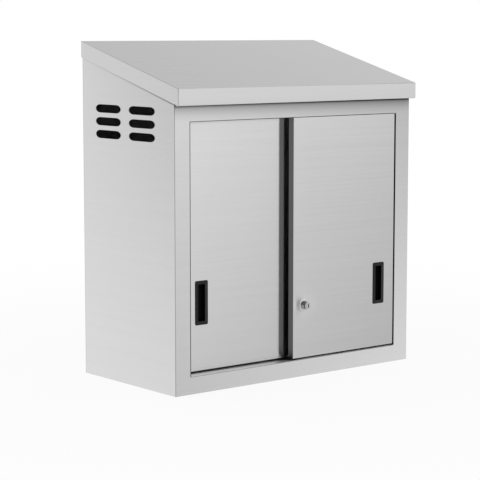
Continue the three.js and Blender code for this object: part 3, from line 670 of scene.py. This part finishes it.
def weigh_folds(shape, radius, flush):
    """Gives each sharp edge its share of the fold's radius as a weight."""
    weights = shape.edges.layers.float.new("bevel_weight_edge")
    for edge in shape.edges:
        if len(edge.link_faces) != 2 or edge.calc_face_angle(0) < SHARP_ANGLE:
            continue
        reach = min(radius, room_beside(edge))
        if flush and all(flush(vert.co) for vert in edge.verts):
            reach = min(SEAM_RADIUS, reach)
        edge[weights] = reach / radius
        edge.smooth = reach > LEAST_RADIUS


def round_folds(piece, radius):
    """Bevels by weight, and keeps the flat faces evenly lit."""
    rounding = piece.modifiers.new("folds", "BEVEL")
    rounding.limit_method = "WEIGHT"
    rounding.width = radius
    rounding.segments = BEVEL_SEGMENTS
    rounding.use_clamp_overlap = False
    rounding.face_strength_mode = "FSTR_ALL"
    evening = piece.modifiers.new("even_light", "WEIGHTED_NORMAL")
    evening.keep_sharp = True
    evening.use_face_influence = True


print("fold radius:", FOLD_RADIUS / MM, "mm")

# %% [markdown]
# ## Folded sheet
# A sheet could be drawn again from its measures, but a copy of the frame's own sheet has every hole
# in its place. The shader brushes round the middle of a mesh's texture space, so that middle is
# put far outside the sheet, and the scratches over it are straight.

# %% Folded sheet
WELD_REACH = 0.001 * MM
BRUSH_REACH = 3.0
BRUSHED_ALONG_X = (0, -BRUSH_REACH, 0)


def adopt(piece, node, finishes, finish_of=None):
    """Puts a piece in the place of a node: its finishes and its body."""
    for finish in finishes:
        piece.data.materials.append(FINISHES[finish])
    if finish_of:
        for face in piece.data.polygons:
            face.material_index = finish_of(face)
    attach(piece, BODY_OF[node])
    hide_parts(node)
    return piece


def solid(name, shape):
    """Turns a working shape into an object in the scene."""
    mesh = bpy.data.meshes.new(name)
    shape.to_mesh(mesh)
    shape.free()
    return added(name, mesh)


def folded(node, finishes, finish_of=None, flush=None, radius=FOLD_RADIUS, brushed_from=BRUSHED_ALONG_X):
    """Copies a sheet and rounds its folds, except where it lies flush with a neighbour."""
    shape = bmesh.new()
    shape.from_mesh(frame["nodes"][node].data)
    bmesh.ops.remove_doubles(shape, verts=shape.verts, dist=WELD_REACH)
    bmesh.ops.dissolve_limit(shape, angle_limit=FLAT_ANGLE, verts=shape.verts, edges=shape.edges)
    weigh_folds(shape, radius, flush)
    for face in shape.faces:
        face.smooth = True
        face.material_index = finish_of(face) if finish_of else 0
    piece = solid(node + "_folded", shape)
    piece.data.use_auto_texspace = False
    piece.data.texspace_location = brushed_from
    piece.data.texspace_size = (1.0, 1.0, 1.0)
    round_folds(piece, radius)
    return adopt(piece, node, finishes)


print("sheets are brushed from", BRUSH_REACH, "m away")

# %% [markdown]
# ## The cabinet's sheets
# The hood is one sheet with a sloped roof and a fascia, and the front frame, the sides and the back
# are welded under it. Each could have one finish all over, but only what shows was brushed, so
# the way a face looks gives the number of its finish.

# %% The cabinet's sheets
HOOD_RADIUS = 2.2 * MM
FRAME_RADIUS = 2.0 * MM
SEAM_REACH = 0.05 * MM
FACING = 0.5
CABINET_MIDDLE = Vector((0, 0, 0.5))
SIDE_HALF_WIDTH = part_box("right_side_panel")[1].x
FRONT_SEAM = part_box("right_side_panel")[0].y
BACK_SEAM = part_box("back_panel")[0].y


def seam_at(*places):
    """A test for points where a side panel meets another sheet flush."""
    def flush(point):
        at_corner = abs(abs(point.x) - SIDE_HALF_WIDTH) < SEAM_REACH
        return at_corner and any(abs(point.y - place) < SEAM_REACH for place in places)
    return flush


def outside(face):
    """Whether a face looks away from the cabinet's middle."""
    return face.normal.dot(face.calc_center_median() - CABINET_MIDDLE) > 0


def hood_finish(face):
    """0 for the roof, 1 for the fascia and the sides, 2 for the inside, in painted shade."""
    if not outside(face):
        return 2
    return 0 if face.normal.z > FACING else 1


def sheet_finish(face):
    """0 for the brushed outer face, 1 for the plain inner face."""
    return 0 if outside(face) else 1


def frame_finish(face):
    """0 for the face and the jambs, 1 for the back, 2 for the sill."""
    if face.normal.y > FACING:
        return 1
    return 2 if face.normal.z > FACING and face.calc_center_median().z < OPENING_MIDDLE else 0


def pan_finish(face):
    """0 for the top of the floor, which runs out to the sill, 1 for the rest."""
    return 0 if face.normal.z > FACING else 1


folded("hood", ["hood", "fascia", "edge"], hood_finish, radius=HOOD_RADIUS)
folded("front_frame", ["frame", "mill", "sill"], frame_finish, seam_at(FRONT_SEAM), FRAME_RADIUS)
for side, towards in (("left", 1), ("right", -1)):
    folded(side + "_side_panel", ["side", "mill"], sheet_finish, seam_at(FRONT_SEAM, BACK_SEAM),
           brushed_from=(towards * BRUSH_REACH, 0, 0))
folded("back_panel", ["back", "mill"], sheet_finish, seam_at(BACK_SEAM))
folded("floor_pan", ["sill", "mill"], pan_finish)
folded("shelf", ["back"])

corners = [f"{side}_{end}" for side in ("left", "right") for end in ("front", "back")]
inner_sheets = ["roof_stiffener", "floor_stiffener", "shelf_stiffener", "wall_rail_upper",
                "wall_rail_lower", "upper_track"]
inner_sheets += [piece + corner for piece in ("pilaster_", "shelf_clip_") for corner in corners]
for node in inner_sheets:
    folded(node, ["mill"])
print("sheets folded: 7 outer ones and", len(inner_sheets), "inside")

# %% [markdown]
# ## Doors
# Each door is a shallow tray with an inner tray in its back. A flat board would look the same from
# the front, but where the doors overlap, a narrow return shows. The returns are unbrushed steel
# painted dark as shade, which gives the dark upright band there.

# %% Doors
DOOR_RADIUS = 1.0 * MM
STRAIGHT_ALONG = 0.9


def door_finish(face):
    """0 for the brushed face, 1 for the returns round it in painted shade, 2 for the inside of the tray.
    """
    if max(abs(face.normal.x), abs(face.normal.z)) > STRAIGHT_ALONG:
        return 1
    return 0 if face.normal.y < 0 else 2


for side in ("left", "right"):
    brushed = "door" if side == "right" else "back_door"
    folded(side + "_door_skin", [brushed, "edge", "mill"], door_finish, radius=DOOR_RADIUS)
    folded(side + "_door_liner", ["mill"], radius=DOOR_RADIUS)
    for end in "ab":
        folded(f"{side}_door_hanger_{end}", ["mill"])
print("doors folded")

# %% [markdown]
# ## Rings and skins
# What is turned or moulded can be a row of rings, each joined to the next: circles for a wheel,
# round-cornered rectangles for a pull, and small circles along a helix for a spring. A modifier
# could turn a profile, but rings can also change shape, such as from a circle into a key slot.

# %% Rings and skins
def skinned(name, rings, loop=False):
    """Joins rings of equally many points, and closes the ends unless the row is a loop."""
    shape = bmesh.new()
    rows = [[shape.verts.new(point) for point in ring] for ring in rings]
    pairs = list(zip(rows, rows[1:]))
    if loop:
        pairs.append((rows[-1], rows[0]))
    for first, second in pairs:
        count = max(len(first), len(second))
        for k in range(count):
            corners = [first[k % len(first)], first[(k + 1) % count % len(first)],
                       second[(k + 1) % count % len(second)], second[k % len(second)]]
            shape.faces.new(list(dict.fromkeys(corners)))
    if not loop:
        for row in (rows[0], rows[-1]):
            if len(row) > 2:
                shape.faces.new(row)
    bmesh.ops.recalc_face_normals(shape, faces=shape.faces)
    for face in shape.faces:
        face.smooth = True
    for edge in shape.edges:
        edge.smooth = len(edge.link_faces) != 2 or edge.calc_face_angle(0) < SHARP_ANGLE
    return solid(name, shape)


print("skins are smooth up to", round(math.degrees(SHARP_ANGLE)), "degrees")

# %% [markdown]
# ## Turned pieces
# A lathe leaves no corner quite sharp. A Bevel modifier could round a turned piece, but its many
# facets would all need weights. So the corners of the outline are rounded first, and then each
# of its points becomes a circle. An outline that comes back to its start leaves a bore open.

# %% Turned pieces
AXES = {"x": Vector((1, 0, 0)), "y": Vector((0, 1, 0)), "z": Vector((0, 0, 1))}
LEAST_CIRCLE = 1e-7


def softened(outline, radius, steps=4):
    """Rounds the corners of an open outline of (across, along) points."""
    points = [Vector(point) for point in outline]
    soft = [points[0]]
    for before, corner, after in zip(points, points[1:], points[2:]):
        reach = min(radius, (before - corner).length / 2, (after - corner).length / 2)
        start = corner + (before - corner).normalized() * reach
        end = corner + (after - corner).normalized() * reach
        for k in range(steps + 1):
            share = k / steps
            soft.append(start.lerp(corner, share).lerp(corner.lerp(end, share), share))
    soft.append(points[-1])
    return soft


def circle(centre, radius, axis, steps):
    """Points round a line along an axis; a circle of no size is one point."""
    along = AXES[axis]
    if radius < LEAST_CIRCLE:
        return [centre]
    first = along.yzx
    second = along.cross(first)
    turns = [2 * math.pi * k / steps for k in range(steps)]
    return [centre + radius * (math.cos(a) * first + math.sin(a) * second) for a in turns]


def turned(name, outline, centre, axis="y", steps=96, radius=0.4 * MM):
    """Turns an outline of (radius, place) points about an axis."""
    soft = softened(outline, radius)
    has_bore = outline[0] == outline[-1]
    if has_bore:
        soft.pop()
    rings = [circle(centre + AXES[axis] * along, across, axis, steps) for across, along in soft]
    return skinned(name, rings, has_bore)


print("outlines can be turned about", ", ".join(AXES))

# %% [markdown]
# ## Wheels and axles
# Each door hangs on two nylon wheels, with a flange and a hollow in each side, on rivets with domed
# heads. Plain discs would roll as well, but open doors show them, so both have their full outline.

# %% Wheels and axles
ROUND_STEPS = 48
SHANK = 3.0 * MM


def wheel(node, axle_node):
    low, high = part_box(node)
    axle_low, axle_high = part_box(axle_node)
    centre = middle_of(node)
    flange = half_of(node).z
    tread = flange - 2.5 * MM
    bore = 3.3 * MM
    front = low.y - centre.y
    back = high.y - centre.y
    step = front + 1.2 * MM
    hollow = 0.9 * MM
    outline = [(bore + 1.6 * MM, front), (bore, front), (bore, back), (bore + 1.8 * MM, back),
               (bore + 2.2 * MM, back - hollow), (tread - 1.8 * MM, back - hollow),
               (tread - 1.4 * MM, back), (tread, back), (tread, step), (flange, step), (flange, front),
               (tread - 1.2 * MM, front), (tread - 1.6 * MM, front + hollow),
               (bore + 2.0 * MM, front + hollow), (bore + 1.6 * MM, front)]
    adopt(turned(node + "_turned", outline, centre, radius=0.35 * MM), node, ["nylon"])
    head = half_of(axle_node).z
    thick = 1.5 * MM
    rivet = []
    for end, inwards in ((axle_low.y - centre.y, 1), (axle_high.y - centre.y, -1)):
        dome = [(0, end), (0.55 * head, end), (0.85 * head, end + inwards * 0.3 * thick),
                (head, end + inwards * thick), (SHANK, end + inwards * thick)]
        rivet += dome[::inwards]
    adopt(turned(axle_node + "_turned", rivet, centre, steps=ROUND_STEPS), axle_node, ["mill"])


print("a wheel is", round(2 * half_of("left_door_wheel_a").z / MM, 1), "mm across its flange")

# %% [markdown]
# ## Screws
# Cap head screws with a hexagon socket hold the hangers. A thread could be a bump in the material,
# but real edges read better from close by, and level rings look like a helix at this size.

# %% Screws
SIXTH = math.pi / 3
SOCKET_ACROSS = 2.6 * MM
SOCKET_DEPTH = 1.8 * MM
HEAD_HEIGHT = 3.0 * MM
PITCH = 1.0 * MM
THREAD_DEPTH = 0.45 * MM


def hexagon_ring(centre, across, axis):
    """A hexagon with as many points as a circle, so that the two can join."""
    ring = []
    for k, point in enumerate(circle(centre, across, axis, ROUND_STEPS)):
        angle = (2 * math.pi * k / ROUND_STEPS) % SIXTH - SIXTH / 2
        ring.append(centre + (point - centre) * math.cos(SIXTH / 2) / math.cos(angle))
    return ring


def socket_screw(node):
    """A cap head screw that points down, with a thread of fine rings."""
    low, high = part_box(node)
    axis_point = Vector((*middle_of(node).xy, 0))
    head = half_of(node).x
    thread_end = high.z - HEAD_HEIGHT
    outline = [(0, low.z), (SHANK - 0.6 * MM, low.z)]
    place = low.z + 0.4 * MM
    while place + PITCH < thread_end - 0.5 * MM:
        outline += [(SHANK, place), (SHANK - THREAD_DEPTH, place + PITCH / 2)]
        place += PITCH
    outline += [(SHANK, place), (SHANK, thread_end), (head, thread_end),
                (head, high.z - 0.4 * MM), (head - 0.4 * MM, high.z)]
    rings = [circle(axis_point + AXES["z"] * z, r, "z", ROUND_STEPS) for r, z in outline]
    for depth in (0, SOCKET_DEPTH):
        rings.append(hexagon_ring(axis_point + AXES["z"] * (high.z - depth), SOCKET_ACROSS, "z"))
    adopt(skinned(node + "_turned", rings), node, ["mill"])


for side in ("left", "right"):
    for end in "ab":
        wheel(f"{side}_door_wheel_{end}", f"{side}_door_axle_{end}")
        socket_screw(f"{side}_door_hanger_screw_{end}")
socket_screw("floor_guide_screw")
print("4 wheels on their axles and 5 screws turned")

# %% [markdown]
# ## Recessed pulls
# A pull is one black moulding: a raised rim with a fine step round it, a mouth, and behind it a
# wider pocket that the fingertips hook into. Boxes cut from each other would have sharp edges. A row
# of round-cornered rectangles, from the pocket's floor over the rim to the back, has soft ones.

# %% Recessed pulls
PULL_CORNER = 4.0 * MM
CORNER_STEPS = 8
PULL_WALL = 1.8 * MM
MOUTH = 9.0 * MM
CUP = 3.3 * MM
LIP = 2.0 * MM
LEAST_CORNER = 0.05 * MM
TO_THE_LEFT = -0.3


def rectangle_ring(centre, half_width, half_height, corner, along):
    """A round-cornered rectangle in the plane of the doors."""
    corner = max(min(corner, half_width, half_height), LEAST_CORNER)
    ring = []
    for quarter, (sx, sz) in enumerate(((1, 1), (-1, 1), (-1, -1), (1, -1))):
        for k in range(CORNER_STEPS + 1):
            angle = math.pi / 2 * (quarter + k / CORNER_STEPS)
            x = sx * (half_width - corner) + corner * math.cos(angle)
            z = sz * (half_height - corner) + corner * math.sin(angle)
            ring.append(centre + Vector((x, along, z)))
    return ring


def pull(node, skin_node):
    low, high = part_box(node)
    centre = middle_of(node)
    centre.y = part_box(skin_node)[0].y
    half_width, _, half_height = half_of(node)
    rim = centre.y - low.y
    back = high.y - centre.y
    pocket = CUP + PULL_WALL
    outline = [
        (pocket + 1.0 * MM, back - PULL_WALL), (pocket, back - PULL_WALL), (pocket, LIP), (MOUTH, LIP),
        (MOUTH, -0.55 * rim), (MOUTH - 0.6 * MM, -0.9 * rim), (MOUTH - 2.6 * MM, -0.9 * rim),
        (MOUTH - 3.0 * MM, -0.55 * rim), (MOUTH - 3.4 * MM, -0.55 * rim), (MOUTH - 5.0 * MM, -rim),
        (1.2 * MM, -rim), (0, -0.35 * rim), (0, 0), (CUP, 0), (CUP, back), (CUP + 2.0 * MM, back),
    ]
    rings = []
    for inset, along in softened(outline, radius=0.5 * MM, steps=3):
        corner = PULL_CORNER - 0.3 * inset
        rings.append(rectangle_ring(centre, half_width - inset, half_height - inset, corner, along))

    def finish_of(part):
        """0 for the rim, 1 for the pocket in painted shade, 2 for the slope inside the rim that faces the
        left, with a painted highlight.
        """
        if part.center.y > centre.y:
            return 1
        right_edge = part.center.x > centre.x + half_width - MOUTH
        return 2 if part.normal.x < TO_THE_LEFT and right_edge else 0

    adopt(skinned(node + "_moulded", rings), node, ["black", "pocket", "lip"], finish_of)


pull("left_door_pull", "left_door_skin")
pull("right_door_pull", "right_door_skin")
print("pulls moulded")

# %% [markdown]
# ## Lock housing
# The lock is a chromed plunger, and its housing is a sleeve through the door with a flange in front.
# A tube and a disc would do from afar. Turned from one outline, it has the rounded rim, with a
# painted highlight for the photograph's bright crescent, and a bore in which the barrel moves.

# %% Lock housing
LOCK_STEPS = 128

lock_axis = middle_of("lock_housing")
lock_axis.y = 0.0
housing_low, housing_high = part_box("lock_housing")
flange = half_of("lock_housing").x
sleeve = 12.2 * MM
bore = 10.6 * MM
mouth = 9.8 * MM
bolt_hole = 4.3 * MM
front = housing_low.y
mouth_back = front + 1.7 * MM
door_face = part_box("right_door_skin")[0].y
sleeve_back = housing_high.y
end_wall = sleeve_back - 1.5 * MM
housing_outline = [
    (mouth + 0.8 * MM, front), (flange - 2.2 * MM, front), (flange, front + 1.3 * MM),
    (flange, door_face), (sleeve, door_face), (sleeve, sleeve_back), (bolt_hole, sleeve_back),
    (bolt_hole, end_wall), (bore, end_wall), (bore, mouth_back), (mouth, mouth_back),
    (mouth, front + 0.4 * MM), (mouth + 0.8 * MM, front),
]


def housing_finish(face):
    """0 for the front, 1 for the rim, 2 for the top of the rim, with a painted highlight."""
    if abs(face.normal.y) > STRAIGHT_ALONG or face.center.y > door_face:
        return 0
    return 2 if face.normal.z > FACING else 1


housing = turned("lock_housing_turned", housing_outline, lock_axis, steps=LOCK_STEPS)
adopt(housing, "lock_housing", ["chrome", "satin", "bright"], housing_finish)
print("the lock's flange is", round(2 * flange / MM, 1), "mm across")

# %% [markdown]
# ## Lock barrel
# The barrel is pushed in against a spring. A collar keeps it in the housing, a seat in its front
# holds the key plug, and the thin end is the bolt. It could be all one chrome, but the side looks
# darker in the photograph, so it has a painted dark reflection, and its underside is plain chrome.

# %% Lock barrel
barrel_low, barrel_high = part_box("lock_barrel")
barrel = 9.5 * MM
collar = half_of("lock_barrel").x
plug_seat = 6.3 * MM
seat_back = barrel_low.y + 9.0 * MM
lighter_underside_from = barrel_low.y + 7.0 * MM
collar_front = front + 2.0 * MM
collar_back = collar_front + 2.0 * MM
bolt = 4.0 * MM
UNDERSIDE = 0.15
barrel_outline = [
    (0, seat_back), (plug_seat, seat_back), (plug_seat, barrel_low.y + 0.4 * MM),
    (plug_seat + 0.5 * MM, barrel_low.y), (barrel - 1.2 * MM, barrel_low.y),
    (barrel, barrel_low.y + 1.2 * MM), (barrel, lighter_underside_from), (barrel, collar_front),
    (collar, collar_front), (collar, collar_back), (bolt, collar_back),
    (bolt, barrel_high.y - 0.5 * MM), (bolt - 0.7 * MM, barrel_high.y), (0, barrel_high.y),
]


def barrel_finish(face):
    """0 for the front and the lighter underside, 1 for the painted dark reflection over the rest."""
    lighter_underside = face.normal.z < UNDERSIDE and face.center.y > lighter_underside_from
    return 0 if face.normal.y < -FACING or lighter_underside else 1


barrel_piece = turned("lock_barrel_turned", barrel_outline, lock_axis, steps=LOCK_STEPS)
adopt(barrel_piece, "lock_barrel", ["chrome", "chrome_painted_dark"], barrel_finish)
print("the barrel stands", round((front - barrel_low.y) / MM, 1), "mm out of the housing")

# %% [markdown]
# ## Key plug
# The plug in the barrel's middle turns with the key. Its slot could be cut with a boolean, which
# leaves stray triangles. Here the round front runs into the slot's outline, point by point.

# %% Key plug
KEY_SLOT = (3.0 * MM, 8.6 * MM)
KEY_SLOT_DEPTH = 6.5 * MM


def on_lock_axis(y):
    return lock_axis + AXES["y"] * y


def slot_ring(y):
    """The outline of the key slot, with a point for each point of a circle."""
    width, height = KEY_SLOT
    ring = []
    for point in circle(Vector(), 1.0, "y", LOCK_STEPS):
        reach = 1 / max(2 * abs(point.x) / width, 2 * abs(point.z) / height)
        ring.append(on_lock_axis(y) + point * reach)
    return ring


plug_low, plug_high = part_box("lock_key_plug")
plug = half_of("lock_key_plug").x
plug_outline = [(0, plug_high.y), (plug, plug_high.y), (plug, plug_low.y), (plug - 1.0 * MM, plug_low.y)]
plug_rings = [circle(on_lock_axis(y), r, "y", LOCK_STEPS) for r, y in softened(plug_outline, 0.4 * MM)]
plug_rings += [slot_ring(plug_low.y + depth) for depth in (0, KEY_SLOT_DEPTH)]


def plug_finish(face):
    """0 for the front, 1 for the rest, in painted shade."""
    return 1 if face.normal.y > -FACING or face.center.y > plug_low.y + KEY_SLOT_DEPTH / 2 else 0


plug_piece = skinned("lock_key_plug_turned", plug_rings)
adopt(plug_piece, "lock_key_plug", ["plug", "chrome_painted_dark"], plug_finish)
print("key slot:", [round(size / MM, 1) for size in KEY_SLOT], "mm")

# %% [markdown]
# ## Lock nut
# A flat hexagon nut holds the housing from the door's back. A hexagon with a hole would do, but a
# real nut's corners are turned off, so its faces are circles.

# %% Lock nut
NUT_BORE = 12.5 * MM
NUT_FACE = 0.86
NUT_CHAMFER = 0.5 * MM
NUT_BORE_CHAMFER = 0.4 * MM

nut_low, nut_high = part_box("lock_nut")
nut = half_of("lock_nut").z
nut_rings = []
for y, inwards in ((nut_low.y, 1), (nut_high.y, -1)):
    half_nut = [
        circle(on_lock_axis(y + inwards * inset), radius, "y", ROUND_STEPS)
        for inset, radius in ((NUT_BORE_CHAMFER, NUT_BORE), (0, NUT_BORE + NUT_BORE_CHAMFER),
                              (0, NUT_FACE * nut))]
    half_nut.append(hexagon_ring(on_lock_axis(y + inwards * NUT_CHAMFER), nut, "y"))
    nut_rings += half_nut[::inwards]
adopt(skinned("lock_nut_turned", nut_rings, loop=True), "lock_nut", ["mill"])
print("nut:", round(2 * nut / MM, 1), "mm across its corners")

# %% [markdown]
# ## Lock spring
# The spring is a wire wound in a helix with a flat turn at each end. A curve with a round bevel
# would look the same, but a mesh can be squashed against the end wall when the barrel goes in.

# %% Lock spring
WIRE = 0.5 * MM
WIRE_SIDES = 10
SPRING_TURNS = 3.5
SPRING_STEPS = 36
FLAT_END = 0.12

spring_low, spring_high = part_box("lock_spring")
spring_radius = half_of("lock_spring").x - WIRE
spring_start = spring_low.y + WIRE
spring_full = spring_high.y - spring_low.y
spring_length = spring_full - 2 * WIRE
wire_rings = []
spring_count = int(SPRING_TURNS * SPRING_STEPS)
for k in range(spring_count + 1):
    share = k / spring_count
    angle = 2 * math.pi * SPRING_TURNS * share
    climb = min(max((share - FLAT_END) / (1 - 2 * FLAT_END), 0.0), 1.0)
    outward = Vector((math.cos(angle), 0, math.sin(angle)))
    centre = lock_axis + spring_radius * outward + AXES["y"] * (spring_start + spring_length * climb)
    turns = [2 * math.pi * j / WIRE_SIDES for j in range(WIRE_SIDES)]
    wire_rings.append([centre + WIRE * (math.cos(a) * outward + math.sin(a) * AXES["y"]) for a in turns])
spring = adopt(skinned("lock_spring_wound", wire_rings), "lock_spring", ["mill"])
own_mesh(spring)

# %% [markdown]
# ## Floor guide
# The guide on the sill is a black moulding with one fin for the groove of each door. Bevelled boxes
# would come close, but rings give upright round corners of one size and softer top edges of
# another, as a mould does.

# %% Floor guide
FIN_HALF = 3.4 * MM
FIN_INSET = 0.5 * MM
FIN_ROOT = 0.2 * MM


def block_rings(low, high, corner, edge):
    """Rings for a block with upright round corners and softened edges."""
    centre = Vector((*((low + high) / 2).xy, 0))
    half_x, half_y, _ = (high - low) / 2
    rings = []
    for inset, z in softened([(corner, low.z), (0, low.z), (0, high.z), (corner, high.z)], edge, 3):
        flat = rectangle_ring(Vector(), half_x - inset, half_y - inset, corner - 0.5 * inset, 0)
        rings.append([centre + Vector((point.x, point.z, z)) for point in flat])
    return rings


def merged(name, pieces):
    """One object of several closed shells."""
    shape = bmesh.new()
    for piece in pieces:
        shape.from_mesh(piece.data)
        bpy.data.objects.remove(piece)
    return solid(name, shape)


guide_low, guide_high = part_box("floor_guide")
base_high = Vector((guide_high.x, guide_high.y, guide_low.z + 2.0 * MM))
guide_parts = [skinned("guide_base", block_rings(guide_low, base_high, corner=2.0 * MM, edge=0.4 * MM))]
for side in ("right", "left"):
    lane = middle_of(side + "_door_skin").y
    fin_low = Vector((guide_low.x + FIN_INSET, lane - FIN_HALF, base_high.z - FIN_ROOT))
    fin_high = Vector((guide_high.x - FIN_INSET, lane + FIN_HALF, guide_high.z))
    fin = block_rings(fin_low, fin_high, corner=2.5 * MM, edge=1.0 * MM)
    guide_parts.append(skinned("guide_fin", fin))
adopt(merged("floor_guide_moulded", guide_parts), "floor_guide", ["black"])
print("floor guide: a base and", len(guide_parts) - 1, "fins")

# %% [markdown]
# ## Buffers and stops
# Domed rubber buttons on the jambs catch a closing door, and rubber blocks end the track. Spheres
# and cubes could stand for them, but a turned dome and a softened block look moulded.

# %% Buffers and stops
for side, towards in (("left", 1), ("right", -1)):
    for end in ("upper", "lower"):
        node = f"jamb_buffer_{side}_{end}"
        low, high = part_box(node)
        radius = half_of(node).z
        foot, tip = (low.x, high.x) if towards > 0 else (high.x, low.x)
        rise = tip - foot
        outline = [(0, foot), (radius, foot), (radius, foot + 0.35 * rise),
                   (0.8 * radius, foot + 0.8 * rise), (0.4 * radius, tip), (0, tip)]
        centre = Vector((0, *middle_of(node).yz))
        adopt(turned(node + "_turned", outline, centre, axis="x", steps=ROUND_STEPS), node, ["rubber"])

for node in ("track_stop_front", "track_stop_back"):
    block = block_rings(*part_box(node), corner=1.5 * MM, edge=0.8 * MM)
    adopt(skinned(node + "_moulded", block), node, ["rubber"])
print("4 buffers and 2 stops made")
